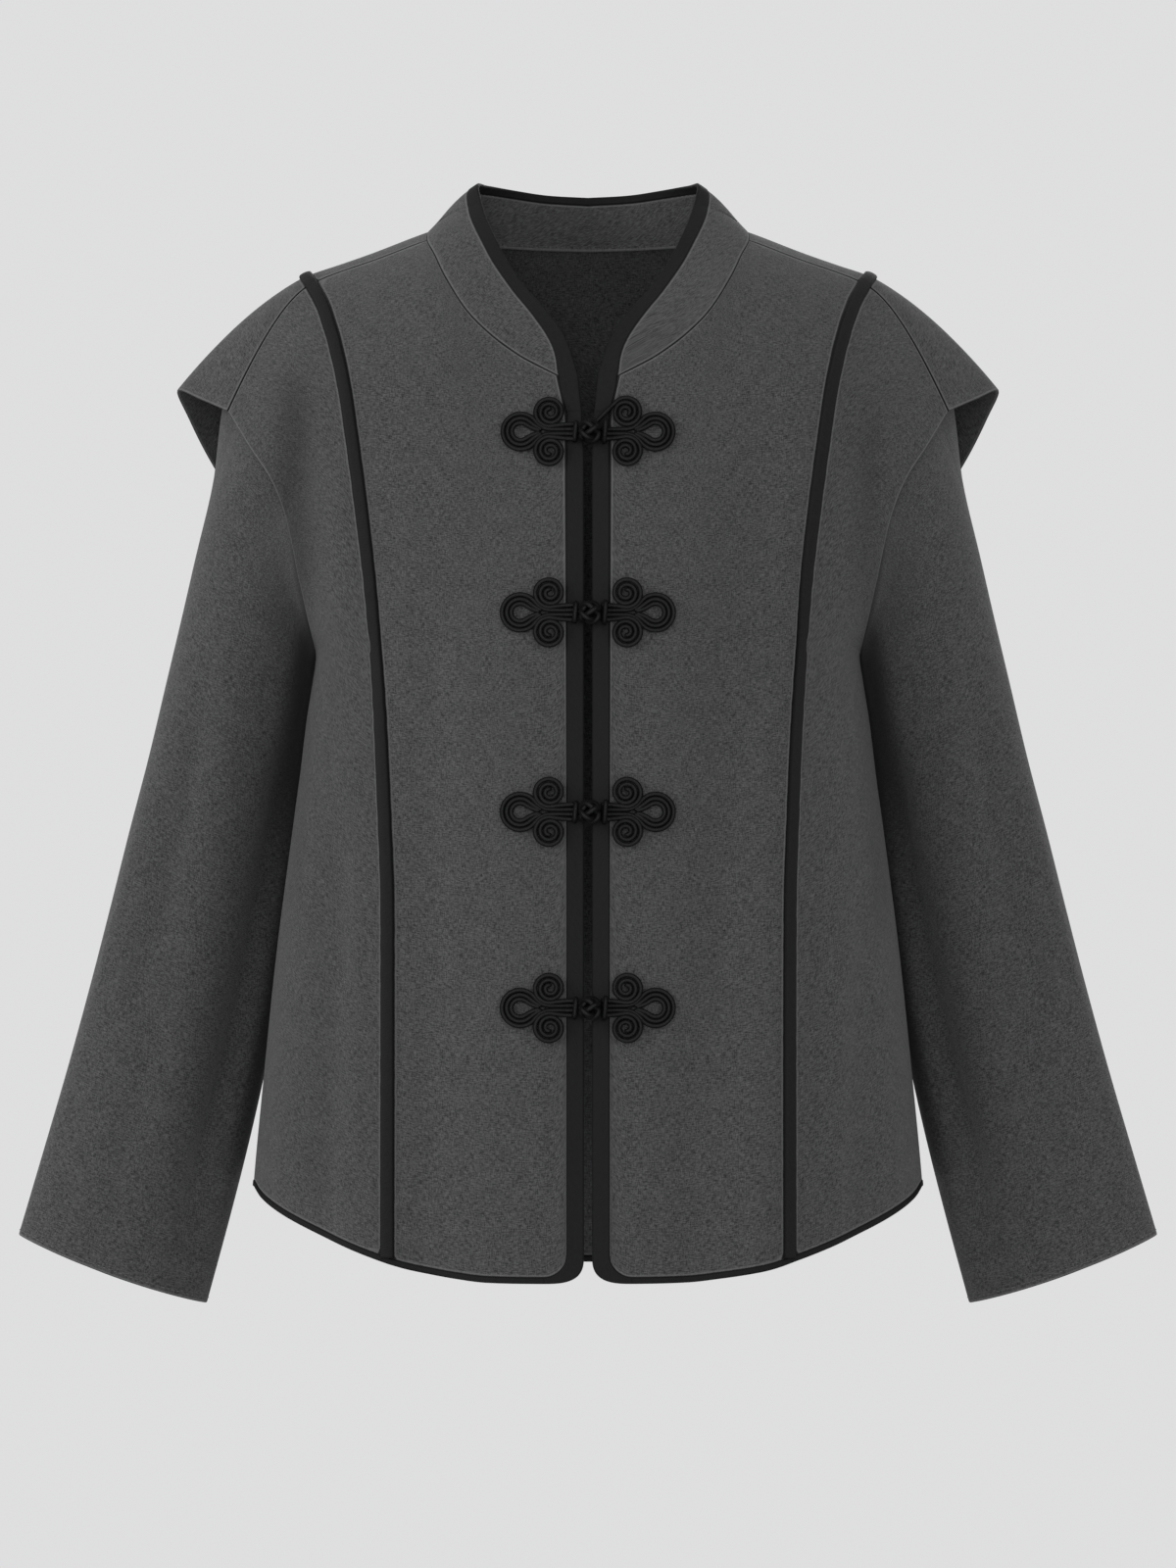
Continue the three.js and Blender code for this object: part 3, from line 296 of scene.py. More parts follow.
def lerp(a, b, t):
    return a + (b - a) * t


def smooth(t):
    t = clamp(t)
    return t * t * (3 - 2 * t)


def along(rows, key, at, column):
    """The value of a column where the key column is at a given place, smooth through the rows."""
    keys, values = rows[key], rows[column]
    last = len(keys) - 1
    way = 1 if keys[-1] > keys[0] else -1
    at = np.asarray(at, float)
    i = np.clip(np.searchsorted(way * keys, way * at, side="left") - 1, 0, last - 1)
    before, after = np.maximum(np.arange(last + 1) - 1, 0), np.minimum(np.arange(last + 1) + 1, last)
    slopes = (values[after] - values[before]) / (keys[after] - keys[before])
    span = keys[i + 1] - keys[i]
    t = clamp((at - keys[i]) / span)
    start, end = values[i], values[i + 1]
    a, b = slopes[i] * span, slopes[i + 1] * span
    return start + t * a + t * t * (3 * (end - start) - 2 * a - b) + t**3 * (2 * (start - end) + a + b)


def body(z, column):
    return along(BODY, "z", z, column)


def ridge(x):
    return along(SHOULDER, "x", np.abs(x), "z")


def princess(z):
    return along(PRINCESS, "z", z, "x")


def hem(x):
    return along(HEM, "x", np.abs(x), "z")


def panel_edge(z):
    return along(PANEL_EDGE, "z", z, "x")


def point(x, y, z):
    return np.stack(np.broadcast_arrays(x, y, z), axis=-1).astype(float)


def unit(v):
    return v / np.maximum(np.linalg.norm(v, axis=-1, keepdims=True), 1e-9)


def fold_line(x, z, top_x, top_z, end_x, end_z, half):
    """Height of a soft ridge along a line: 1 on it, falling away over its half width."""
    t = clamp((z - top_z) / (end_z - top_z))
    away = (x - lerp(top_x, end_x, t)) / half
    return np.exp(-away * away)


def fold_rise(face, x, z):
    """How far the folds move the cloth outwards at a place on the front (face -1) or back (face 1)."""
    rise = np.zeros(np.broadcast(x, z).shape)
    folds = FRONT_FOLDS if face < 0 else BACK_FOLDS
    for *line, high in zip(*folds.values()):
        start = smooth((line[1] - z) / FOLD_FADE)
        end = 1 if line[3] < OPEN_END else smooth((z - line[3]) / FOLD_FADE)
        rise += high * fold_line(x, z, *line) * start * end
    for on, *line, high in zip(*FINE_FOLDS.values()):
        if on == face:
            fade = smooth((line[1] - z) / FINE_FADE) * smooth((z - line[3]) / FINE_FADE)
            rise += high * fold_line(x, z, *line) * fade
    beside = np.abs(np.abs(x) - princess(z)) / PUCKER_REACH
    ripple = np.sin(2 * math.pi * (z / PUCKER_PITCH + 0.35 * np.sin(z / 41))) * np.sin(z / 23 + x / 90)
    return rise + PUCKER * ripple * np.exp(-beside * beside)


def folded(face, p):
    """Moves points of the plain body form outwards, in their own section, by the folds there."""
    x, y, z = p[..., 0], p[..., 1], p[..., 2]
    width = body(z, "width")
    depth = np.where(face < 0, body(z, "front"), body(z, "back"))
    nx = np.sign(x) * (np.abs(x) / width) ** (SQUARENESS - 1) / width
    ny = face * (np.abs(y) / depth) ** (SQUARENESS - 1) / depth
    rise = np.where(face < 0, fold_rise(-1, x, z), fold_rise(1, x, z))
    rise = rise / np.maximum(np.hypot(nx, ny), 1e-9)
    return point(x + nx * rise, y + ny * rise, z)


def body_depth(face, x, z, rounding):
    """The plain form's depth for a share of the shoulder rounding."""
    share = np.minimum(np.abs(x) / body(z, "width"), 1)
    plain = np.where(face < 0, body(z, "front"), body(z, "back"))
    depth = plain * (1 - share**SQUARENESS) ** (1 / SQUARENESS)
    return RIDGE_Y + face * (depth - face * RIDGE_Y) * rounding


def on_body(face, x, z):
    """Points of the body at places and heights on the front or back."""
    t = clamp((z - ridge(x) + SHOULDER_DROP) / SHOULDER_DROP)
    rounding = (1 - t**SHOULDER_ROUND) ** (1 / SHOULDER_ROUND)
    return folded(face, point(x, body_depth(face, x, z, rounding), z))


def on_back(x, tape):
    """Points of the back at a place and tape: height up to the knee, then length over the ridge."""
    x, tape = np.broadcast_arrays(np.asarray(x, float), np.asarray(tape, float))
    knee = ridge(x) - SHOULDER_DROP
    low = on_body(1, x, np.minimum(tape, knee))
    angle = np.maximum(tape - knee, 0) / SHOULDER_TAPE * math.pi / 2
    power = 2 / SHOULDER_ROUND
    z = knee + SHOULDER_DROP * np.abs(np.sin(angle)) ** power
    face = np.where(np.cos(angle) > 0, 1, -1)
    y = body_depth(face, x, z, np.abs(np.cos(angle)) ** power)
    high = folded(face, point(x, y, z))
    return np.where((tape < knee)[..., None], low, high)


def seam_tape(x):
    """The tape at which the back panel's top edge meets the front in front of the ridge."""
    rise = ((SHOULDER_DROP - SEAM_DROP) / SHOULDER_DROP) ** (SHOULDER_ROUND / 2)
    return ridge(x) - SHOULDER_DROP + SHOULDER_TAPE * (2 - math.asin(rise) * 2 / math.pi)


def back_tape(x, z):
    """The tape of a place and height on the back."""
    knee = ridge(x) - SHOULDER_DROP
    rise = clamp((z - knee) / SHOULDER_DROP) ** (SHOULDER_ROUND / 2)
    return np.where(z < knee, z, knee + SHOULDER_TAPE * np.arcsin(rise) * 2 / math.pi)


def princess_back(side, tape):
    x = princess(tape)
    for _ in range(5):
        x = princess(on_back(x, tape)[..., 2])
    return on_back(side * x, tape)


def princess_front(side, z):
    return on_body(-1, side * princess(z), z)


def quadratic(a, b, c, t):
    t = np.asarray(t)[..., None]
    return lerp(lerp(a, b, t), lerp(b, c, t), t)


def on_side(side, face, share, z):
    """Points of a side panel below the armpit: share 0 at the princess seam and 1 at the side seam."""
    share, z = np.broadcast_arrays(np.asarray(share, float), np.asarray(z, float))
    start = princess_front(side, z) if face < 0 else princess_back(side, z)
    width = body(z, "width")
    depth = body(z, "front" if face < 0 else "back")
    across = np.abs(start[..., 0]) / width
    down = depth * across ** (SQUARENESS - 1) / width
    slope = down / (1 - across**SQUARENESS) ** (1 - 1 / SQUARENESS)
    control = point(side * width, start[..., 1] - face * slope * (width - np.abs(start[..., 0])), z)
    end = point(side * width, 0, z)
    p = quadratic(start, control, end, share)
    keep = (1 - smooth(share * 4))[..., None]
    return np.where((share > 0)[..., None], lerp(folded(face, p), p, keep), p)


def level(rows, column, row):
    last = rows["row"][-1]
    below = lerp(rows[column][-1], ARMPIT, row - last)
    return np.where(row > last, below, along(rows, "row", np.minimum(row, last), column))


def on_cap(side, face, share, row):
    """Points of the cap: row counted down from the ridge seam to the armpit."""
    share, row = np.broadcast_arrays(np.asarray(share, float), np.asarray(row, float))
    rows = CAP_FRONT if face < 0 else CAP_BACK
    last = rows["row"][-1]
    value = lambda column: along(rows, "row", np.minimum(row, last), column)
    place = level(rows, "princess" if face < 0 else "tape", row)
    start = princess_front(side, place) if face < 0 else princess_back(side, place)
    control = point(side * value("ctrl_x"), value("ctrl_y"), value("ctrl_z"))
    end = point(side * value("edge_x"), value("edge_y"), value("edge_z"))
    p = quadratic(start, control, end, share)
    p[..., 1] += face * fold_rise(face, p[..., 0], p[..., 2]) * smooth(share * 4) * smooth(row / 2)
    armpit = on_side(side, face, share, np.full(share.shape, float(ARMPIT)))
    low = lerp(p, armpit, clamp(row - last)[..., None])
    return np.where(((row > last) & (share > 0))[..., None], low, p)


# Panels

SEAM_FOOT = float(hem(princess(HEM_LEVEL)) + HEM_BAND)
FRONT_CAP_ROWS = 57
BACK_CAP_ROWS = 78
SKIRT_PARTS = 80
front_rows = np.linspace(0, CAP_FRONT["row"][-1] + 1, FRONT_CAP_ROWS)
back_rows = np.linspace(0, CAP_BACK["row"][-1] + 1, BACK_CAP_ROWS)
skirt = np.linspace(0, 1, SKIRT_PARTS + 1)[1:]
front_stations = np.concatenate([level(CAP_FRONT, "princess", front_rows), lerp(ARMPIT, SEAM_FOOT, skirt)])
back_stations = np.concatenate([
    level(CAP_BACK, "tape", back_rows),
    lerp(ARMPIT, SEAM_FOOT + BACK_HEM_RISE, skirt),
])
SEAM_TOP = float(front_stations[0])

NECK_SHARE = 0.6
TOP_BLEND = 0.32
NECK_COLUMNS = 34
SHOULDER_COLUMNS = 16
CORNER_SHARES = (0.008, 0.017, 0.026)
BACK_NECK_ROWS = 37


def shoulder_seam(t):
    """The shoulder seam that the front and the back share, from the neck point to the princess seam."""
    x = lerp(COLLAR["x"][NECK_POINT_ROW], princess(SEAM_TOP), t)
    return x, lerp(seam_tape(x), back_stations[0], t**4)


def front_top(share):
    """The front's top edge by share of the way from the front tip of the collar to the princess seam."""
    row = clamp(share / NECK_SHARE) * NECK_POINT_ROW
    neck_x, neck_z = along(COLLAR, "row", row, "x"), along(COLLAR, "row", row, "z")
    x, tape = shoulder_seam(clamp((share - NECK_SHARE) / (1 - NECK_SHARE)))
    shoulder_z = on_back(x, tape)[..., 2]
    on_neck = share <= NECK_SHARE
    return np.where(on_neck, neck_x, x), np.where(on_neck, neck_z, shoulder_z)


def front_bottom(x):
    """Bottom edge of the centre panel, rounded at the front corner."""
    away = clamp(x - panel_edge(PANEL_FOOT), 0, PANEL_CORNER)
    lift = PANEL_CORNER - np.sqrt(PANEL_CORNER**2 - (PANEL_CORNER - away) ** 2)
    return hem(x) + HEM_BAND + lift


def front_centre(side):
    shares = np.concatenate([
        [0], CORNER_SHARES,
        np.linspace(0, NECK_SHARE, NECK_COLUMNS + 1)[2:],
        np.linspace(NECK_SHARE, 1, SHOULDER_COLUMNS + 1)[1:],
    ])[None, :]
    station = front_stations[:, None]
    up = (station - SEAM_FOOT) / (SEAM_TOP - SEAM_FOOT)
    top_x, top_z = front_top(shares)
    foot = lerp(panel_edge(PANEL_FOOT), princess(HEM_LEVEL), shares)
    z = lerp(front_bottom(foot), top_z, up)
    top_share = (top_x - panel_edge(top_z)) / (princess(top_z) - panel_edge(top_z))
    turned = lerp(shares, top_share, smooth((up - 1 + TOP_BLEND) / TOP_BLEND))
    x = lerp(panel_edge(z), princess(z), turned)
    grid = on_body(-1, side * x, z)
    grid[:, -1] = princess_front(side, front_stations)
    return grid


# Columns of the back by neck row of the collar, as a share of the way to the princess seam
BACK_COLUMNS = table("row share", [
    (BACK_MIDDLE_ROW, 0),
    (12, 0.17),
    (11, 0.32),
    (10, 0.45),
    (9, 0.56),
    (RIDGE_ROW, 0.64),
    (NECK_POINT_ROW, 0.72),
])
BACK_TURN = 4


def neck_seam(row):
    """Place and tape of the back's neck edge at each row of the collar."""
    x = along(COLLAR, "row", row, "x")
    tape = back_tape(x, along(COLLAR, "row", np.maximum(row, RIDGE_ROW), "z"))
    return x, lerp(tape, seam_tape(x), clamp(RIDGE_ROW - row))


def back_centre():
    row = np.linspace(BACK_MIDDLE_ROW, NECK_POINT_ROW, BACK_NECK_ROWS)
    neck_x, neck_tape = neck_seam(row)
    t = np.linspace(0, 1, SHOULDER_COLUMNS + 1)[1:]
    seam_x, seam_top = shoulder_seam(t)
    share = np.concatenate([along(BACK_COLUMNS, "row", row, "share"), lerp(BACK_COLUMNS["share"][-1], 1, t)])
    top_x = np.concatenate([neck_x, seam_x])
    top_tape = np.concatenate([neck_tape, seam_top])
    mirror = lambda half, sign=1: np.concatenate([sign * half[:0:-1], half])[None, :]
    side = np.sign(mirror(share, -1))
    share, top_x, top_tape = mirror(share), mirror(top_x), mirror(top_tape)
    foot = SEAM_FOOT + BACK_HEM_RISE
    up = (back_stations[:, None] - foot) / (back_stations[0] - foot)
    blend = np.maximum((up - 1 + TOP_BLEND) / TOP_BLEND, 0) ** BACK_TURN
    bottom = hem(princess(HEM_LEVEL) * share) + BACK_HEM_RISE + HEM_BAND
    tape = lerp(bottom, top_tape, up)
    turned = lerp(share, top_x / princess(SEAM_TOP), blend)
    grid = on_back(side * princess(np.minimum(tape, SEAM_TOP)) * turned, tape)
    grid[:, 0] = princess_back(-1, back_stations)
    grid[:, -1] = princess_back(1, back_stations)
    return grid


def side_panel(side, face, parts=30):
    """Rows of a side panel: the cap down to the armpit, then level rows to the hem."""
    shares = np.linspace(0, 1, parts + 1)[None, :]
    rows = (front_rows if face < 0 else back_rows)[:, None]
    cap = on_cap(side, face, shares, rows)
    rise = 0 if face < 0 else BACK_HEM_RISE * (1 - shares)
    foot_x = on_side(side, face, shares, np.full(shares.shape, float(PANEL_FOOT)))[..., 0]
    foot = np.where(shares > 0, hem(foot_x) + HEM_BAND, SEAM_FOOT)
    below = on_side(side, face, shares, lerp(ARMPIT, foot + rise, skirt[:, None]))
    return np.concatenate([cap, below])


# Sleeve

SLEEVE_STEPS = 120
HEAD_RINGS = 22
SLEEVE_LENGTHS = 150


def armhole_ring(side):
    half = SLEEVE_STEPS // 2
    k = np.arange(SLEEVE_STEPS)
    plain = unit(np.array([0.3 * side, 0, -1]))
    ring = np.zeros((SLEEVE_STEPS, 3))
    outwards = np.zeros((SLEEVE_STEPS, 3))
    for face, pick in ((-1, k <= half), (1, k > half)):
        down = k[pick] / half if face < 0 else (SLEEVE_STEPS - k[pick]) / half
        share = along(ARMHOLE_FRONT if face < 0 else ARMHOLE_BACK, "down", down, "share")
        row = down * len((CAP_FRONT if face < 0 else CAP_BACK)["row"])
        p = on_cap(side, face, share, row)
        inwards = unit(np.array([side * ARMHOLE_MIDDLE[0], *ARMHOLE_MIDDLE[1:]]) - p)
        cloth = on_cap(side, face, np.minimum(share + 0.1, 1), row) - on_cap(side, face, share - 0.1, row)
        cloth = unit(unit(cloth) + HEAD_TUCK * inwards)
        below = smooth((down - HEAD_TURN) / (1 - HEAD_TURN))[:, None]
        outwards[pick] = unit(lerp(cloth, plain, below))
        ring[pick] = p + ARMHOLE_INSET * inwards
    return ring, outwards


def sleeve_fold(degrees, down):
    rise = np.zeros(np.broadcast(degrees, down).shape)
    for around, start, stop, half, high in zip(*SLEEVE_FOLDS.values()):
        away = (degrees - around) / half
        rise += high * np.exp(-away * away) * smooth((down - start) / 0.2) * smooth((stop - down) / 0.2)
    return rise


# Painted shade in the folds: down the sleeve's inner side, painted shadow under the cap, and painted shade
# on the body beside the sleeves
SLEEVE_SHADES = table("around start stop half deep", [
    (153, -0.3, 0.5, 26, 1),
    (165, 0.1, 1.0, 13, 0.9),
    (173, 0.5, 1.4, 9, 0.45),
])
HEAD_SHADE = {"reach": 9, "cover": 34, "deep": 0.8}
SIDE_SHADES = table("face top_x top_z end_x end_z half deep", [
    (-1, -178, -92, -174, -225, 12, 0.5),
    (-1, 170, -110, 166, -225, 10, 0.25),
    (-1, -168, -262, -178, -420, 7, 0.35),
    (-1, 168, -262, 178, -420, 7, 0.35),
    (-1, -158, -240, -172, -590, 34, 0.16),
])


def sleeve_shade(grid):
    """Painted shade on the sleeve's cloth: down its inner side, and painted shadow close under the cap."""
    degrees = np.arange(grid.shape[1])[None, :] * 360 / grid.shape[1]
    top, foot = (sleeve_section(1, row)[..., 2].mean() for row in (0, LAST_SECTION))
    down = ((top - grid[..., 2].mean(1)) / (top - foot))[:, None]
    shade = np.zeros(grid.shape[:2])
    for around, start, stop, half, deep in zip(*SLEEVE_SHADES.values()):
        away = (degrees - around) / half
        here = smooth((down - start) / 0.25) * smooth((stop - down) / 0.45)
        shade = np.maximum(shade, deep * np.exp(-away**4) * here)
    share = along(ARMHOLE_FRONT, "down", np.minimum(degrees, 180) / 180, "share")
    covered = HEAD_SHADE["cover"] * (1 - share)
    near = 1 - smooth(np.maximum(run(grid, 0) - covered, 0) / HEAD_SHADE["reach"])
    return np.maximum(shade, HEAD_SHADE["deep"] * near * (degrees < 181))


def side_shade(grid):
    """Painted shade on the body's cloth beside the sleeves."""
    shade = np.zeros(grid.shape[:2])
    for face, top_x, top_z, end_x, end_z, half, deep in zip(*SIDE_SHADES.values()):
        share = clamp((top_z - grid[..., 2]) / (top_z - end_z))
        away = (grid[..., 0] - lerp(top_x, end_x, share)) / half
        beyond = np.maximum(grid[..., 2] - top_z, end_z - grid[..., 2])
        here = (grid[..., 1] * face > 0) * (1 - smooth(beyond / 50 + 0.5))
        shade = np.maximum(shade, deep * np.exp(-away * away) * here)
    return shade


def sleeve_section(side, row):
    row = np.asarray(row, float)[..., None]
    value = lambda column: along(SLEEVE, "row", row, column)
    angle = np.arange(SLEEVE_STEPS) / SLEEVE_STEPS * 2 * math.pi
    out = (1 + np.cos(angle)) / 2
    x = lerp(value("in_x"), value("out_x"), out)
    bow = CUFF_BOW * (1 - np.cos(angle) ** 2) * clamp(row - LAST_SECTION + 1)
    z = lerp(value("in_z"), value("out_z"), out) - bow
    y = value("y") - value("twist") * np.cos(angle) - value("depth") * np.sin(angle)
    shrink = 1 + sleeve_fold(np.degrees(angle), row / LAST_SECTION) / value("depth")
    middle_x = (value("in_x") + value("out_x")) / 2
    return point(side * lerp(middle_x, x, shrink), lerp(value("y"), y, shrink), z)


def bezier(a, b, c, d, t):
    return (1 - t) ** 3 * a + 3 * (1 - t) ** 2 * t * b + 3 * (1 - t) * t**2 * c + t**3 * d


def sleeve(side):
    start, outwards = armhole_ring(side)
    first, second = sleeve_section(side, 0), sleeve_section(side, 1)
    down = unit(second - first)
    reach = np.linalg.norm(start - first, axis=-1, keepdims=True)
    lead = start + outwards * reach * HEAD_LEAD
    trail = first - down * reach * HEAD_TRAIL
    t = np.linspace(0, 1, HEAD_RINGS + 1)[:, None, None]
    head = bezier(start, lead, trail, first, t)
    arm = sleeve_section(side, np.linspace(0, LAST_SECTION, SLEEVE_LENGTHS + 1)[1:])
    return np.concatenate([head, arm])


# Collar and bindings

def collar_line(row):
    """Seam point, control point and free edge of the collar at each row."""
    value = lambda column: along(COLLAR, "row", row, column)
    on_front = on_body(-1, value("x"), np.minimum(value("z"), ridge(value("x"))))
    seam = np.where((row > NECK_POINT_ROW)[..., None], on_back(*neck_seam(row)), on_front)
    free = point(value("free_x"), value("free_y"), value("free_z"))
    length = np.linalg.norm(seam - free, axis=-1)
    bulge = length * COLLAR_ROUND * smooth((row - 5) / 3) * smooth((12 - row) / 2)
    return seam, (seam + free) / 2 + point(bulge, 0, bulge), free, length, value("band")


def collar_point(line, distance):
    seam, control, free, length = line[:4]
    return quadratic(seam, control, free, clamp(distance / length))


COLLAR_PARTS = 9


def collar_rows():
    right = np.linspace(0, BACK_MIDDLE_ROW, BACK_MIDDLE_ROW * COLLAR_PARTS + 1)
    rows = np.concatenate([right, right[-2::-1]])
    sides = np.concatenate([np.ones(len(right)), -np.ones(len(right) - 1)])
    return rows, sides


def round_neck(make):
    """A strip round the neck: make gives each row's points from the collar's line there."""
    rows, sides = collar_rows()
    grid = make(collar_line(rows))
    grid[..., 0] *= sides[:, None]
    return grid


def collar():
    """From the neck seam up to under the binding; at the back its foot is tucked inside the back panel."""
    rows, _ = collar_rows()
    x, tape = neck_seam(rows)
    tucked = smooth((rows - RIDGE_ROW) / 1.5)[:, None]
    low = on_back(x, tape - TUCK)
    across = on_back(x + 1, tape - TUCK) - on_back(x - 1, tape - TUCK)
    inwards = TUCK_IN * unit(np.cross(across, on_back(x, tape) - low))

    def make(line):
        top = line[3] - line[4] + WRAP
        foot = []
        for k, down in enumerate((1, 0.5, 0.1)):
            plain = collar_point(line, np.full(len(rows), SEAM_HALF * (2 + k)))
            foot.append(lerp(plain, lerp(line[0], low, down) + inwards, tucked))
        rest = [collar_point(line, lerp(SEAM_HALF * 6, top, t)) for t in np.linspace(0, 1, 15)]
        return np.stack(foot + rest, axis=1)

    return round_neck(make)


BINDING_FOOT = table("z edge free", [(FRONT_TOP, 13, 3.6), (-104, 15.2, 4.7), (-97.5, 16.7, 5.3)])


def collar_binding():
    across = np.linspace(0, 1, 9)

    def make(line):
        columns = [collar_point(line, line[3] - (line[4] + WRAP) * (1 - t)) for t in across]
        return np.stack(columns, axis=1)

    def foot(side):
        z = np.linspace(FRONT_TOP, BINDING_FOOT["z"][-1], 8)[:, None]
        edge = along(BINDING_FOOT, "z", z, "edge") + WRAP
        return on_body(-1, side * lerp(edge, along(BINDING_FOOT, "z", z, "free"), across), z)

    return np.concatenate([foot(1), round_neck(make), foot(-1)[::-1]])


CORNER_SQUARE = 3
TURN_RUN = 30
STRAIGHT_ROWS = 150
CORNER_ROWS = 22


def front_binding(side):
    """Its inner line follows the panel and its outer line is the free edge."""
    inner = FRONT_EDGE + FRONT_BAND + WRAP
    corner_x = float(panel_edge(PANEL_FOOT)) + PANEL_CORNER
    foot = float(hem(corner_x))
    corner_z = foot + HEM_BAND + PANEL_CORNER
    z = lerp(FRONT_TOP + LAP, corner_z, np.linspace(0, 1, STRAIGHT_ROWS))
    free = lerp(BINDING_FOOT["free"][0], FRONT_EDGE, smooth((FRONT_TOP - z) / TURN_RUN))
    straight = np.stack([np.full(z.shape, inner), z, free, z], axis=1)
    angle = np.linspace(0, math.pi / 2, CORNER_ROWS)[1:]
    power = 2 / CORNER_SQUARE
    corner = np.stack([
        corner_x - (corner_x - inner) * np.cos(angle),
        corner_z - (corner_z - foot - HEM_BAND - WRAP) * np.sin(angle),
        corner_x - (corner_x - FRONT_EDGE) * np.abs(np.cos(angle)) ** power,
        corner_z - (corner_z - foot) * np.sin(angle) ** power,
    ], axis=1)
    x, z, free_x, free_z = np.concatenate([straight, corner]).T[:, :, None]
    t = np.linspace(0, 1, 9)
    return on_body(-1, side * lerp(x, free_x, t), lerp(z, free_z, t))


def hem_binding():
    """Round the hem from the right front corner by way of the back to the left one."""
    corner_x = float(panel_edge(PANEL_FOOT)) + PANEL_CORNER - LAP
    up = np.linspace(HEM_BAND + WRAP, 0, 7)

    def front(side, t):
        x = lerp(corner_x, princess(HEM_LEVEL), t)[:, None]
        return on_body(-1, side * x, hem(x) + up)

    def flank(side, face, t):
        foot = hem(on_side(side, face, t, np.full(t.shape, float(PANEL_FOOT)))[..., 0])
        rise = 0 if face < 0 else BACK_HEM_RISE * (1 - t)
        return on_side(side, face, t[:, None], (foot + rise)[:, None] + up)

    def back(t):
        x = lerp(princess(HEM_LEVEL), -princess(HEM_LEVEL), t)[:, None]
        return on_body(1, x, hem(x) + up + BACK_HEM_RISE)

    out, home = np.linspace(0, 1, 41), np.linspace(1, 0, 41)
    return np.concatenate([
        front(1, out),
        flank(1, -1, out)[1:],
        flank(1, 1, home)[1:],
        back(np.linspace(0, 1, 91))[1:],
        flank(-1, 1, out)[1:],
        flank(-1, -1, home)[1:],
        front(-1, home)[1:],
    ])


PIPING_BESIDE = 0.04
PIPING_ACROSS = np.array([-1, -0.9, -0.7, -0.45, -0.15, 0.15, 0.45, 0.7, 0.9, 1])


def piping(side):
    """Lines of points over the princess seam, from the front hem over the shoulder to the back hem."""
    def lines(face, rows, stations):
        stations = stations.copy()
        stations[-1] -= PIPING_END
        seam = princess_front(side, stations) if face < 0 else princess_back(side, stations)
        on = len(rows)
        beside = np.concatenate([
            on_cap(side, face, np.full(on, PIPING_BESIDE), rows),
            on_side(side, face, np.full(len(stations) - on, PIPING_BESIDE), stations[on:]),
        ])
        outer = unit(beside - seam)
        x = side * (np.abs(seam[:, 0]) - PIPING_HALF)
        inner = unit((on_body(-1, x, stations) if face < 0 else on_back(x, stations)) - seam)
        reach = PIPING_ACROSS[None, :, None] * PIPING_HALF
        return seam[:, None] + np.where(reach < 0, -reach * inner[:, None], reach * outer[:, None])

    front = lines(-1, front_rows, front_stations)[::-1]
    return np.concatenate([front[:-1], lines(1, back_rows, back_stations)])


# Meshes from grids

def grid_normals(grid, ring):
    across = np.roll(grid, -1, 1) - np.roll(grid, 1, 1)
    if not ring:
        across[:, 0] = grid[:, 1] - grid[:, 0]
        across[:, -1] = grid[:, -1] - grid[:, -2]
    down = np.empty_like(grid)
    down[1:-1] = grid[2:] - grid[:-2]
    down[0], down[-1] = grid[1] - grid[0], grid[-1] - grid[-2]
    normals = unit(np.cross(across, down))
    rows, columns = grid.shape[:2]
    middle = grid[rows // 2, columns // 2]
    outwards = np.array([0 if ring else middle[0], middle[1], 0])
    way = -1 if not ring and normals[rows // 2, columns // 2] @ outwards < 0 else 1
    return normals * way


def with_edges(grid, ring, distances=EDGE_COLUMNS):
    """Adds lines of points close inside each free edge, where its rounding needs them."""
    def add(g):
        start, after = g[0], g[1]
        gap = np.linalg.norm(after - start, axis=-1, keepdims=True)
        extra = [lerp(start, after, np.minimum(d / np.maximum(gap, 1e-6), 0.2 + 0.2 * k))
                 for k, d in enumerate(distances)]
        return np.concatenate([g[:1], np.stack(extra), g[1:]])

    grid = add(add(grid)[::-1])[::-1]
    if not ring:
        grid = np.swapaxes(add(add(np.swapaxes(grid, 0, 1))[::-1])[::-1], 0, 1)
    return grid


def run(grid, axis):
    """Length along the grid from its first line, on each of its lines."""
    step = np.linalg.norm(np.diff(grid, axis=axis), axis=-1)
    pad = [(0, 0), (0, 0)]
    pad[axis] = (1, 0)
    return np.pad(np.cumsum(step, axis=axis), pad)


def draw_in(grid, distances, ring=False):
    """Moves a grid's boundary points in from its seams: distances at top, bottom, start and finish."""
    grid = grid.copy()
    top, bottom, start, finish = distances
    if not ring:
        grid[:, 0] += unit(grid[:, 1] - grid[:, 0]) * start
        grid[:, -1] += unit(grid[:, -2] - grid[:, -1]) * finish
    grid[0] += unit(grid[1] - grid[0]) * top
    grid[-1] += unit(grid[-2] - grid[-1]) * bottom
    return grid


TOP_LEAN = 0.5


def from_edges(grid, ring, covers=(0, 0, 0, 0), shoulder=False):
    """Distance of each point from the nearest edge, counted from where what covers that edge ends.

    Along a shoulder seam, on cloth that turns away, distances count smaller.
    """
    top, bottom, start, finish = covers
    beyond = smooth((np.abs(grid[0, :, 0]) - COLLAR["x"][NECK_POINT_ROW]) / 2)
    lean = lerp(1, TOP_LEAN, beyond) if shoulder else 1
    near = np.minimum((run(grid, 0) - top) * lean, run(grid[::-1], 0)[::-1] - bottom)
    if ring:
        return near
    return np.minimum(near, np.minimum(run(grid, 1) - start, run(grid[:, ::-1], 1)[:, ::-1] - finish))


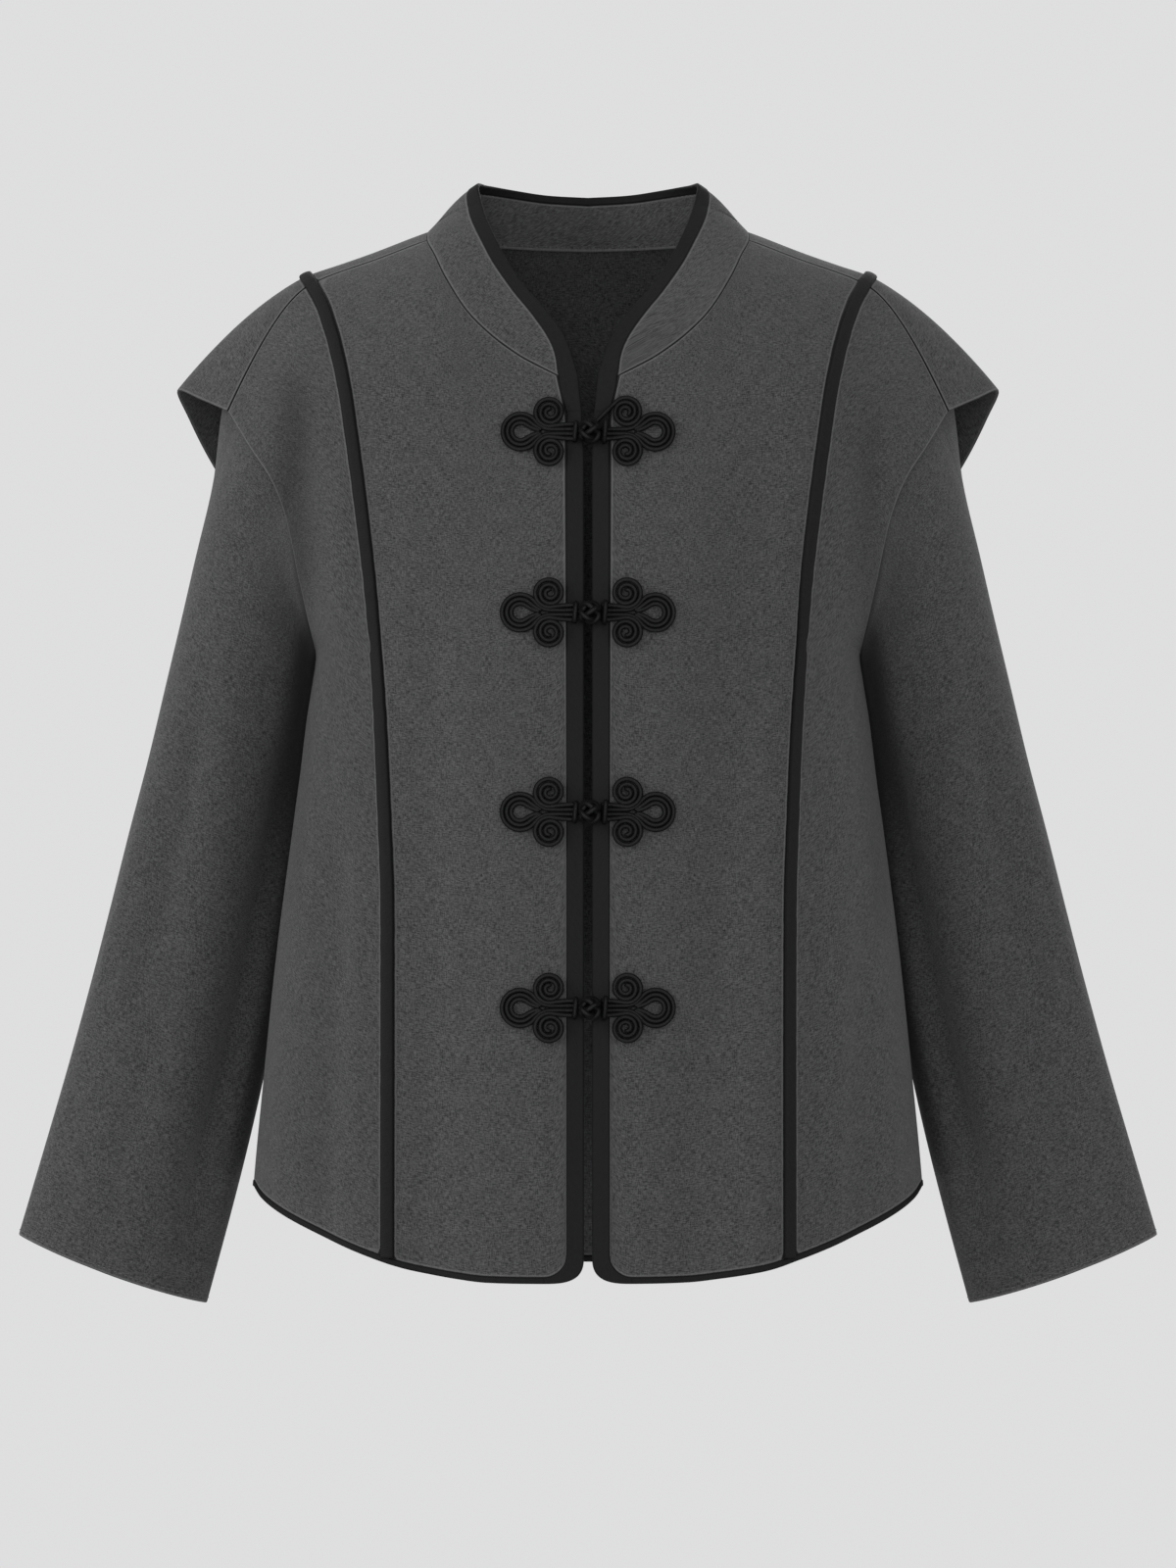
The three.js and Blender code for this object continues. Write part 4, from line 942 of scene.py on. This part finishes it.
def wall(name, grid, thickness, ring=False, rise=None, covers=(0, 0, 0, 0), shoulder=False, shade=None):
    """A closed thin shell on a grid of points, with rounded edges, in metres.

    rise, where given, makes the inner face's height over the grid and the thickness at each point.
    shade, where given, makes the painted shade at each point, from 0 to 1.
    """
    grid = with_edges(grid, ring)
    rows, columns = grid.shape[:2]
    normals = grid_normals(grid, ring)
    u, v = run(grid, 1), run(grid[::-1], 0)[::-1]
    edge = from_edges(grid, ring)
    rounding = np.sqrt(1 - (1 - clamp(edge / EDGE_ROUND, 0.12, 1)) ** 2)[..., None]
    # Distances from the edges, where the cloth's painted highlight and painted seam shadow go
    line = from_edges(grid, ring, covers, shoulder).reshape(-1)
    # Painted shade at each point, from the shade function
    deep = np.zeros(rows * columns) if shade is None else shade(grid).reshape(-1)
    half = thickness / 2
    if rise is None:
        layers = [grid - normals * half * rounding, grid + normals * half * rounding]
    else:
        base, high = rise(grid, u)
        layers = [grid + normals * base, grid + normals * (base + high * rounding[..., 0])[..., None]]
    verts = np.concatenate([layer.reshape(-1, 3) for layer in layers]) * MM
    index = np.arange(2 * rows * columns).reshape(2, rows, columns)
    if ring:
        index = np.concatenate([index, index[:, :, :1]], axis=2)
    quads = lambda a: np.stack([a[:-1, :-1], a[:-1, 1:], a[1:, 1:], a[1:, :-1]], -1).reshape(-1, 4)
    strip = lambda a, b: np.stack([a[:-1], b[:-1], b[1:], a[1:]], -1)
    faces = [quads(index[1]), quads(index[0])[:, ::-1]]
    faces.append(strip(index[1, 0], index[0, 0]))
    faces.append(strip(index[0, -1], index[1, -1]))
    if not ring:
        faces.append(strip(index[0, :, 0], index[1, :, 0]))
        faces.append(strip(index[1, :, -1], index[0, :, -1]))
    faces = np.concatenate(faces)
    if signed_volume(verts, faces) < 0:
        faces = faces[:, ::-1]
    uv = np.stack([u, v], -1).reshape(-1, 2)
    values = {"edge": np.tile(line, 2), "shade": np.tile(deep, 2)}
    return make_mesh(name, verts, faces.tolist(), np.concatenate([uv, uv]), values)


def signed_volume(verts, faces):
    a, b, c, d = (verts[faces[:, k]] for k in range(4))
    return np.sum(a * np.cross(b, c)) + np.sum(a * np.cross(c, d))


def add_values(mesh, word, numbers):
    mesh.attributes.new(word, "FLOAT", "POINT").data.foreach_set("value", numbers.astype(np.float32))


def make_mesh(name, verts, faces, uv=None, values=None):
    """A smooth mesh from points in metres, with its grain in millimetres and named values at its points."""
    mesh = bpy.data.meshes.new(name)
    mesh.from_pydata(verts.tolist(), [], faces)
    mesh.polygons.foreach_set("use_smooth", np.ones(len(mesh.polygons), bool))
    if uv is not None:
        layer = mesh.uv_layers.new(name="grain")
        loops = np.zeros(len(mesh.loops), int)
        mesh.loops.foreach_get("vertex_index", loops)
        layer.data.foreach_set("uv", (uv[loops] * MM).astype(np.float32).ravel())
    for word, numbers in (values or {}).items():
        add_values(mesh, word, numbers)
    mesh.update()
    piece = bpy.data.objects.new(name, mesh)
    bpy.context.scene.collection.objects.link(piece)
    return piece


def dress(piece, material, slot, *nodes):
    piece.data.materials.append(material)
    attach(piece, "root")
    if nodes:
        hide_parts(*nodes)
    return piece


# Materials

class Shader:
    """A material's node tree with short ways to add and link nodes."""

    def __init__(self, name):
        self.material = bpy.data.materials.new(name)
        self.material.use_nodes = True
        self.tree = self.material.node_tree
        self.bsdf = self.tree.nodes["Principled BSDF"]

    def node(self, kind, inputs=None, **settings):
        node = self.tree.nodes.new(kind)
        for key, value in settings.items():
            setattr(node, key, value)
        for key, value in (inputs or {}).items():
            self.set(node.inputs[key], value)
        return node

    def set(self, socket, value):
        if isinstance(value, bpy.types.NodeSocket):
            self.tree.links.new(value, socket)
        elif isinstance(value, bpy.types.Node):
            self.tree.links.new(value.outputs[0], socket)
        else:
            socket.default_value = value

    def math(self, operation, a, b=0.0):
        return self.node("ShaderNodeMath", {0: a, 1: b}, operation=operation)

    def scaled(self, vector, scale):
        return self.node("ShaderNodeMapping", {"Vector": vector, "Scale": scale})

    def noise(self, vector, scale, detail=2.0, roughness=0.5):
        inputs = {"Vector": vector, "Scale": scale, "Detail": detail, "Roughness": roughness}
        return self.node("ShaderNodeTexNoise", inputs)

    def ramp(self, value, low, high, to_low=0.0, to_high=1.0):
        inputs = {"Value": value, "From Min": low, "From Max": high, "To Min": to_low, "To Max": to_high}
        return self.node("ShaderNodeMapRange", inputs, clamp=True)

    def mix(self, factor, a, b):
        node = self.node("ShaderNodeMix", data_type="RGBA")
        self.set(node.inputs[0], factor)
        self.set(node.inputs[6], a)
        self.set(node.inputs[7], b)
        return node.outputs[2]

    def bump(self, height, distance, strength=1.0, normal=None):
        node = self.node("ShaderNodeBump", {"Height": height, "Distance": distance, "Strength": strength})
        if normal is not None:
            self.set(node.inputs["Normal"], normal)
        return node


def grey(level):
    return (level, level, level * 1.015, 1)


# The last three tones are painted light: a highlight just inside the edges and seams, a shadow at the seams'
# very edges, and shade in the folds.
TONES = {"dark": 0.0125, "light": 0.087, "slub": 0.13, "seam_highlight": 0.12, "seam": 0.004, "fold": 0.003}
THREADS = (1700, 1500)
DIAGONAL_THREADS = 1100
BRAID = {"round": 6, "long": 620}


def cloth_material(name):
    """Heathered plain weave: short flecks along both threads, faint mottling, a painted highlight just
    inside the edges and seams, painted shadow at their very edges, and painted shade in the folds.
    """
    s = Shader(name)
    grain = s.node("ShaderNodeUVMap", uv_map="grain")
    weft = s.noise(s.scaled(grain, (300, 1500, 1)), 1, 3, 0.7)
    warp = s.noise(s.scaled(grain, (1500, 300, 1)), 1, 3, 0.7)
    slubs = s.noise(s.scaled(grain, (190, 900, 1)), 1, 1, 0.5)
    mottle = s.noise(s.scaled(grain, (90, 90, 1)), 1, 2, 0.5)
    flecks = s.math("ADD", s.math("MULTIPLY", weft, 0.55), s.math("MULTIPLY", warp, 0.45))
    shade = s.math("ADD", s.math("MULTIPLY", flecks, 0.93), s.math("MULTIPLY", mottle, 0.07))
    colour = s.mix(s.ramp(shade, 0.41, 0.6), grey(TONES["dark"]), grey(TONES["light"]))
    colour = s.mix(s.ramp(slubs, 0.68, 0.8, 0, 0.35), colour, grey(TONES["slub"]))
    edge = s.node("ShaderNodeAttribute", attribute_name="edge").outputs["Fac"]
    # Painted highlight: lighter from a quarter millimetre to about 1.7 mm inside each edge and seam
    seam_highlight = s.math("MULTIPLY", s.ramp(edge, 0.25, 0.5), s.ramp(edge, 1.0, 1.7, 0.55, 0))
    colour = s.mix(seam_highlight, colour, grey(TONES["seam_highlight"]))
    # Painted shadow: darkest right at each edge and seam, gone half a millimetre in
    colour = s.mix(s.ramp(edge, 0.05, 0.45, 0.95, 0), colour, grey(TONES["seam"]))
    # Painted shade in the folds, from the shade value of the mesh
    shade = s.node("ShaderNodeAttribute", attribute_name="shade").outputs["Fac"]
    colour = s.mix(s.math("MULTIPLY", shade, 0.95), colour, grey(TONES["fold"]))
    s.set(s.bsdf.inputs["Base Color"], colour)
    s.set(s.bsdf.inputs["Roughness"], s.ramp(flecks, 0.3, 0.7, 0.82, 0.94))
    s.bsdf.inputs["Sheen Weight"].default_value = 0.1
    s.bsdf.inputs["Sheen Roughness"].default_value = 0.5
    s.bsdf.inputs["Specular IOR Level"].default_value = 0.25
    threads = s.node("ShaderNodeSeparateXYZ", {0: grain})
    across = s.math("SINE", s.math("MULTIPLY", threads.outputs[0], 2 * math.pi * THREADS[0]))
    down = s.math("SINE", s.math("MULTIPLY", threads.outputs[1], 2 * math.pi * THREADS[1]))
    fine = s.bump(s.math("MULTIPLY", across, down), 0.00006, 0.5)
    slub = s.bump(flecks, 0.0006, 0.7, fine)
    crumple = s.noise(s.scaled(grain, (45, 30, 1)), 1, 2, 0.5)
    s.set(s.bsdf.inputs["Normal"], s.bump(crumple, 0.0006, 0.2, slub))
    return s.material


def binding_material():
    """Black bias-cut binding: fine diagonal threads, a slight sheen, and painted shade along its edges."""
    s = Shader("black_binding")
    grain = s.node("ShaderNodeUVMap", uv_map="grain")
    parts = s.node("ShaderNodeSeparateXYZ", {0: grain})
    diagonal = s.math("ADD", parts.outputs[0], parts.outputs[1])
    threads = s.math("SINE", s.math("MULTIPLY", diagonal, 2 * math.pi * DIAGONAL_THREADS))
    mottle = s.noise(s.scaled(grain, (420, 420, 1)), 1, 3, 0.6)
    colour = s.mix(s.ramp(mottle, 0.35, 0.65), grey(0.0035), grey(0.0075))
    edge = s.node("ShaderNodeAttribute", attribute_name="edge").outputs["Fac"]
    # Painted shade: darker within about a millimetre of each edge
    colour = s.mix(s.ramp(edge, 0.5, 1.1, 0.85, 0), colour, grey(0.0008))
    s.set(s.bsdf.inputs["Base Color"], colour)
    s.set(s.bsdf.inputs["Roughness"], s.ramp(mottle, 0.3, 0.7, 0.62, 0.76))
    s.bsdf.inputs["Specular IOR Level"].default_value = 0.16
    fine = s.bump(threads, 0.00008, 0.5)
    s.set(s.bsdf.inputs["Normal"], s.bump(mottle, 0.0004, 0.5, fine))
    return s.material


def cord_material():
    """Black braided cord: a crossed braid round and along it, a dull shine on the strands, and a painted
    highlight where they face forwards.
    """
    s = Shader("black_cord")
    grain = s.node("ShaderNodeUVMap", uv_map="grain")
    parts = s.node("ShaderNodeSeparateXYZ", {0: grain})
    round_it = s.math("MULTIPLY", parts.outputs[0], 2 * math.pi * BRAID["round"])
    length = s.math("MULTIPLY", parts.outputs[1], 2 * math.pi * BRAID["long"])
    one = s.math("SINE", s.math("ADD", round_it, length))
    two = s.math("SINE", s.math("SUBTRACT", round_it, length))
    braid = s.math("MULTIPLY", one, two)
    fuzz = s.noise(s.scaled(grain, (30, 900, 1)), 1, 3, 0.7)
    # Painted highlight: the strands are lighter where they face forwards, broken up by the fuzz
    crest = s.node("ShaderNodeAttribute", attribute_name="crest").outputs["Fac"]
    crest_highlight = s.math("MULTIPLY", s.ramp(crest, 0.78, 1.0), s.ramp(fuzz, 0.35, 0.65, 0.45, 1))
    s.set(s.bsdf.inputs["Base Color"], s.mix(crest_highlight, grey(0.001), grey(0.03)))
    s.set(s.bsdf.inputs["Roughness"], s.ramp(fuzz, 0.3, 0.7, 0.42, 0.6))
    s.bsdf.inputs["Specular IOR Level"].default_value = 0.12
    s.set(s.bsdf.inputs["Normal"], s.bump(braid, 0.0004, 0.8))
    return s.material


def thread_material():
    s = Shader("grey_thread")
    place = s.node("ShaderNodeTexCoord")
    fuzz = s.noise(s.scaled(place.outputs["Object"], (1500, 1500, 1500)), 1, 2, 0.5)
    s.set(s.bsdf.inputs["Base Color"], s.mix(fuzz, grey(0.05), grey(0.13)))
    s.bsdf.inputs["Roughness"].default_value = 0.75
    return s.material


GREY_CLOTH = cloth_material("grey_cloth")
GREY_THREAD = thread_material()
BLACK_BINDING = binding_material()
BLACK_CORD = cord_material()


# Cords and knots of the frogs

CORD = 1.45
CORD_SIDES = 10
END_SIZES = (0.3, 0.85)


def lengths_along(path):
    """Length along a path of points, from its first to each."""
    return np.concatenate([[0], np.cumsum(np.linalg.norm(np.diff(path, axis=0), axis=1))])


def at_lengths(path, length, at):
    """What a path holds at the lengths at, where length is that of its own points."""
    return np.stack([np.interp(at, length, path[:, k]) for k in range(path.shape[1])], 1)


def tube(path, radius, closed=False, sides=CORD_SIDES):
    """Points, faces and grain of a round cord along a path of points, in millimetres."""
    path = np.asarray(path, float)
    tangent = np.gradient(path, axis=0)
    if closed:
        tangent = np.roll(path, -1, 0) - np.roll(path, 1, 0)
    tangent = unit(tangent)
    toward = np.tile([0.0, 1.0, 0.0], (len(path), 1))
    sideways = unit(np.cross(tangent, toward))
    upright = np.cross(sideways, tangent)
    angle = (np.arange(sides) + 0.5) / sides * 2 * math.pi
    size = np.full(len(path), float(radius))
    if not closed:
        size[[0, -1]] = radius * END_SIZES[0]
        size[[1, -2]] = radius * END_SIZES[1]
    ring = np.cos(angle)[None, :, None] * sideways[:, None] + np.sin(angle)[None, :, None] * upright[:, None]
    verts = path[:, None] + ring * size[:, None, None]
    index = np.arange(len(path) * sides).reshape(len(path), sides)
    index = np.concatenate([index, index[:, :1]], axis=1)
    if closed:
        index = np.concatenate([index, index[:1]])
    faces = np.stack([index[:-1, :-1], index[1:, :-1], index[1:, 1:], index[:-1, 1:]], -1).reshape(-1, 4)
    faces = faces.tolist()
    if not closed:
        faces += [index[0, :-1].tolist(), index[-1, :-1][::-1].tolist()]
    u = np.tile(np.arange(sides) / sides / MM, (len(path), 1))
    v = np.tile(lengths_along(path)[:, None], (1, sides))
    return verts.reshape(-1, 3), faces, np.stack([u, v], -1).reshape(-1, 2)


def join_tubes(name, tubes):
    """One piece of several tubes; its crest value says how far each point faces forwards, for the cord's
    painted highlight.
    """
    verts, faces, uv, count = [], [], [], 0
    for points, polygons, grain in tubes:
        verts.append(points)
        uv.append(grain)
        faces += [[k + count for k in polygon] for polygon in polygons]
        count += len(points)
    piece = make_mesh(name, np.concatenate(verts) * MM, faces, np.concatenate(uv))
    normals = np.zeros(len(piece.data.vertices) * 3)
    piece.data.vertices.foreach_get("normal", normals)
    add_values(piece.data, "crest", -normals[1::3])
    return piece


def even_path(points, step=0.6):
    """A path of points made even in spacing."""
    points = np.asarray(points, float)
    length = lengths_along(points)
    return at_lengths(points, length, np.linspace(0, length[-1], max(int(length[-1] / step), 4)))


def rounded(points, passes=3):
    """A plan path with its corners cut smooth, ends kept."""
    points = np.asarray(points, float)
    for _ in range(passes):
        a, b = points[:-1], points[1:]
        cut = np.stack([0.75 * a + 0.25 * b, 0.25 * a + 0.75 * b], 1).reshape(-1, points.shape[1])
        points = np.concatenate([points[:1], cut, points[-1:]])
    return points


LOBE = {"x": 23, "z": 11.8, "outer": 8.7, "pitch": 3.05, "turns": 2.6, "lift": 0.6}
DROP_X = 40.6
# Rings of the end loop, where each leaves its circle in degrees, and the points it closes through
DROP = table("ring leave mid_x mid_z end_x end_z", [
    (10.8, 138, 29.4, 3.7, 25.5, 1.5),
    (8.0, 130, 31.0, 2.7, 27.5, 1.0),
    (5.3, 122, 33.4, 1.8, 28.5, 0.6),
])
SHANK = {"start": 7.5, "inner": 1.5, "outer": 4.5}
CORD_REST = 0.25
BAND_STEP = (BINDING - CLOTH) / 2
DIAGONAL = ((4.5, 5.5), (10.5, 11.6))
DIAGONAL_TURN = 140
LOBE_POINTS = 150
LOOP_POINTS = 80
KNOT_POINTS = 320
WRAP_POINTS = 40


def spiral(way, diagonal=False):
    """The cord of one side lobe: along the shank and out round the lobe, or slantwise over it, then in."""
    turn = np.linspace(0, LOBE["turns"] * 2 * math.pi, LOBE_POINTS)
    radius = LOBE["outer"] - LOBE["pitch"] * np.maximum(turn / (2 * math.pi) - 0.25, 0)
    angle = math.radians(DIAGONAL_TURN) - turn if diagonal else turn - math.pi / 2
    lobe = np.stack([LOBE["x"] + radius * np.cos(angle), LOBE["z"] + radius * np.sin(angle)], 1)
    lead = DIAGONAL if diagonal else ((SHANK["start"], SHANK["outer"]), (15, SHANK["outer"] - 0.3))
    path = np.concatenate([rounded(np.concatenate([lead, lobe[:1]]), 2)[:-1], lobe])
    return path * [1, way]


def end_loop(row):
    """One strand of the end loop, closed towards the middle. The outermost runs on as the inner shank."""
    ring, leave, mid_x, mid_z, end_x, end_z = (DROP[name][row] for name in DROP)
    angle = np.radians(np.linspace(leave, -leave, LOOP_POINTS))
    loop = np.stack([DROP_X + ring * np.cos(angle), ring * np.sin(angle)], 1)
    lead = [(end_x, end_z), (mid_x, mid_z)]
    if row == 0:
        lead = [(SHANK["start"], SHANK["inner"]), (18, SHANK["inner"] - 0.2), *lead]
    lead = np.array(lead)
    return rounded(np.concatenate([lead, loop, lead[::-1] * [1, -1]]), 2)


def frog_half(name, side, height, diagonal):
    tubes = []

    def lay(plan, lift=0.0):
        plan = even_path(plan)
        x, z = side * plan[:, 0], height + plan[:, 1]
        ground = on_body(-1, x, z)
        band = BAND_STEP * (1 - smooth((plan[:, 0] - 12) / 3))
        stand = CLOTH / 2 + CORD + CORD_REST + lift + band
        path = point(ground[:, 0], ground[:, 1] - stand, ground[:, 2])
        tubes.append(tube(path, CORD))

    lay(spiral(1, diagonal), LOBE["lift"])
    lay(spiral(-1), LOBE["lift"])
    for row in range(len(DROP["ring"])):
        lay(end_loop(row))
    return join_tubes(name, tubes)


# The knot: one cord that goes leads times round its ball and turns back bights times between two slopes
KNOT = {"x": 1, "radius": 5.2, "over": 0.9, "front": 22, "back": 158, "leads": 3, "bights": 4, "cord": 1.6}
KNOT_START = 0.4
KNOT_TALL = 1.1
KNOT_SEAT = 0.4
# Wraps of cord beside the knot: place and half height, with their lean, depth and half depth
WRAPS = ((-7.6, 5.4), (10.2, 6.2))
WRAP_LEAN = 0.5
WRAP_MIDDLE = 2.5
WRAP_DEPTH = 2.2


def knot(name, height):
    """A woven ball round the closure's own line: one cord that goes round and turns back, over and under."""
    t = np.linspace(0, 2 * math.pi, KNOT_POINTS, endpoint=False)
    weave = np.cos(KNOT["bights"] * t)
    slope = np.radians(lerp(KNOT["front"], KNOT["back"], (1 - weave) / 2))
    around = KNOT["leads"] * t + KNOT_START
    radius = KNOT["radius"] + KNOT["over"] * np.sin(2 * KNOT["bights"] * t)
    seat = float(on_body(-1, FRONT_EDGE, height)[1]) - BINDING / 2
    centre = np.array([KNOT["x"], seat - KNOT["radius"] - KNOT_SEAT, height])
    path = centre + np.stack([
        radius * np.cos(slope),
        radius * np.sin(slope) * np.cos(around),
        radius * np.sin(slope) * np.sin(around) * KNOT_TALL,
    ], 1)
    tubes = [tube(path, KNOT["cord"], closed=True)]
    angle = np.linspace(0, 2 * math.pi, WRAP_POINTS, endpoint=False)
    for place, reach in WRAPS:
        ground = float(on_body(-1, place, height)[1]) - BINDING / 2
        wrap = np.stack([
            place + WRAP_LEAN * np.sin(angle),
            ground - WRAP_MIDDLE + WRAP_DEPTH * np.cos(angle),
            height + reach * np.sin(angle),
        ], 1)
        tubes.append(tube(wrap, KNOT["cord"], closed=True))
    return join_tubes(name, tubes)


# Pieces

FRONT_SEAMS = (SEAM_HALF, -WRAP, -WRAP, SEAM_HALF)
FRONT_COVERS = (0, 2 * WRAP, 2 * WRAP, PIPING_HALF)
BACK_SEAMS = (SEAM_HALF, -WRAP, SEAM_HALF, SEAM_HALF)
BACK_COVERS = (0, 2 * WRAP, PIPING_HALF, PIPING_HALF)
CAP_SEAMS = (RIDGE_SEAM_HALF, -WRAP, SEAM_HALF, SEAM_HALF)
CAP_COVERS = (0, 2 * WRAP, PIPING_HALF, 0)


def raised(grid, u):
    base = CLOTH / 2 + LYING_GAP
    share = clamp(u / np.maximum(u[:, -1:], 1e-6))
    crown = 0.55 + 0.45 * np.sqrt(clamp(1 - (2 * share - 1) ** 2))
    return base, PIPING_RISE * crown


def sew(piece, material, node):
    """Dresses a sheet of cloth."""
    dress(piece, material, "cloth" if material is GREY_CLOTH else "binding", node)


def build_cloth():
    for name, side in (("left", -1), ("right", 1)):
        piece = wall("front_centre_cloth_" + name, draw_in(front_centre(side), FRONT_SEAMS), CLOTH,
                     covers=FRONT_COVERS, shoulder=True)
        sew(piece, GREY_CLOTH, "front_center_" + name)
        for face, word in ((-1, "front"), (1, "back")):
            grid = draw_in(side_panel(side, face), CAP_SEAMS)
            piece = wall(f"{word}_side_cloth_{name}", grid, CLOTH, covers=CAP_COVERS, shade=side_shade)
            sew(piece, GREY_CLOTH, f"{word}_side_{name}")
        piece = wall("sleeve_cloth_" + name, sleeve(side), SLEEVE_CLOTH, ring=True, shade=sleeve_shade)
        sew(piece, GREY_CLOTH, "sleeve_" + name)
        piece = wall("front_band_" + name, front_binding(side), BINDING)
        sew(piece, BLACK_BINDING, "binding_front_" + name)
        piece = wall("piping_strip_" + name, piping(side), PIPING_RISE, rise=raised)
        sew(piece, BLACK_BINDING, "piping_" + name)
    piece = wall("back_cloth", draw_in(back_centre(), BACK_SEAMS), CLOTH, covers=BACK_COVERS, shoulder=True)
    sew(piece, GREY_CLOTH, "back_center")
    piece = wall("collar_cloth", collar(), COLLAR_CLOTH, covers=(0, 0, 0, 2 * WRAP))
    sew(piece, GREY_CLOTH, "collar")
    sew(wall("collar_band", collar_binding(), BINDING), BLACK_BINDING, "binding_collar")
    sew(wall("hem_band", hem_binding(), BINDING), BLACK_BINDING, "binding_hem")


STITCH = {"long": 2.5, "gap": 1.0, "radius": 0.3, "sink": 0.05}
STITCH_SIDES = 6
STITCH_CROWN = np.array([-1, 0.6, 1, 0.6, -1])


def stitches(name, path, outwards):
    """A row of machine stitches lying along a path of points on the cloth."""
    length = lengths_along(path)
    tubes = []
    dip = STITCH_CROWN * STITCH["radius"] * 0.5
    for start in np.arange(0, length[-1] - STITCH["long"], STITCH["long"] + STITCH["gap"]):
        at = np.linspace(start, start + STITCH["long"], len(STITCH_CROWN))
        line = at_lengths(path, length, at) + unit(at_lengths(outwards, length, at)) * dip[:, None]
        tubes.append(tube(line, STITCH["radius"], sides=STITCH_SIDES))
    return join_tubes(name, tubes)


CUFF_STITCH = 3.2
NECK_STITCH = 1.6


def build_stitches():
    for name, side in (("left", -1), ("right", 1)):
        grid = sleeve(side)
        last, before = grid[-1], grid[-2]
        up = unit(before - last)
        middle = grid[-1].mean(0)
        path = last + up * CUFF_STITCH
        outwards = (last - middle) - up * np.sum((last - middle) * up, axis=1, keepdims=True)
        path = path + unit(outwards) * (SLEEVE_CLOTH / 2 + STITCH["sink"])
        close = lambda line: np.concatenate([line, line[:1]])
        piece = stitches("cuff_stitches_" + name, close(path), close(outwards))
        dress(piece, GREY_THREAD, "cloth")
    rows, sides = collar_rows()
    pick = rows > RIDGE_ROW + 1
    line = [part[pick] for part in collar_line(rows)]
    path = collar_point(line, line[3] - line[4] - NECK_STITCH)
    path[:, 0] *= sides[pick]
    inside = unit(-path * [1, 1, 0])
    path = path + inside * (COLLAR_CLOTH / 2 + STITCH["sink"])
    dress(stitches("neck_stitches", path, inside), GREY_THREAD, "cloth")


def build_frogs():
    for i, height in enumerate(FROG_HEIGHTS):
        for name, side in (("left", -1), ("right", 1)):
            piece = frog_half(f"frog_cord_{i + 1}_{name}", side, height, i == 0 and side > 0)
            dress(piece, BLACK_CORD, "cord", f"frog_{i + 1}_{name}")
        dress(knot(f"frog_ball_{i + 1}", height), BLACK_CORD, "cord", f"frog_{i + 1}_knot")


build_cloth()
build_stitches()
build_frogs()


# Stage: a plain pale floor in plain pale surroundings

FLOOR_Z = -1.1
FLOOR_HALF = 1.1


def build_stage():
    s = Shader("pale_floor")
    place = s.node("ShaderNodeTexCoord")
    soft = s.noise(s.scaled(place.outputs["Object"], (2, 2, 2)), 1, 2, 0.5)
    s.set(s.bsdf.inputs["Base Color"], s.mix(soft, grey(0.69), grey(0.70)))
    s.bsdf.inputs["Roughness"].default_value = 0.95
    s.bsdf.inputs["Specular IOR Level"].default_value = 0.1
    corners = [(x * FLOOR_HALF, y * FLOOR_HALF, FLOOR_Z) for x, y in ((-1, -1), (1, -1), (1, 1), (-1, 1))]
    stage = make_mesh("floor", np.array(corners), [[0, 1, 2, 3]])
    stage.data.materials.append(s.material)


def area_light(name, place, aim, size, power):
    data = bpy.data.lights.new(name, "AREA")
    data.shape = "RECTANGLE"
    data.size, data.size_y = size
    data.energy = power
    lamp = bpy.data.objects.new(name, data)
    bpy.context.scene.collection.objects.link(lamp)
    lamp.location = place
    way = np.array(aim, float) - np.array(place, float)
    yaw = math.atan2(way[0], -way[1]) if abs(way[0]) + abs(way[1]) > 1e-6 else 0
    pitch = math.atan2(math.hypot(way[0], way[1]), -way[2])
    lamp.rotation_euler = (pitch, 0, yaw + math.pi)


def build_light():
    world = bpy.data.worlds.new("studio")
    world.use_nodes = True
    bpy.context.scene.world = world
    background = world.node_tree.nodes["Background"]
    background.inputs["Color"].default_value = (0.735, 0.735, 0.74, 1)
    background.inputs["Strength"].default_value = 1
    area_light("key", (-3.0, -1.3, 0.8), (0, 0, -0.35), (1.4, 1.8), 56)
    area_light("fill", (3.0, -1.5, 0.7), (0, 0, -0.35), (1.6, 1.8), 14)
    area_light("front", (-0.3, -5.0, 0.2), (0, 0, -0.2), (1.6, 1.6), 46)
    area_light("back", (0.8, 4.6, 1.4), (0, 0, -0.3), (1.8, 1.8), 60)


CAMERA_DISTANCE = 6.0
VIEW_HEIGHT = 0.96
VIEW_MIDDLE = -0.338
SENSOR = 36.0


def build_camera():
    data = bpy.data.cameras.new("camera")
    data.sensor_width = SENSOR
    data.lens = SENSOR * CAMERA_DISTANCE / VIEW_HEIGHT
    data.clip_end = 60
    camera = bpy.data.objects.new("camera", data)
    camera.location = (0, -CAMERA_DISTANCE, VIEW_MIDDLE)
    camera.rotation_euler = (math.pi / 2, 0, 0)
    bpy.context.scene.collection.objects.link(camera)
    bpy.context.scene.camera = camera


build_stage()
build_light()
build_camera()
bpy.context.scene.view_settings.view_transform = "Standard"

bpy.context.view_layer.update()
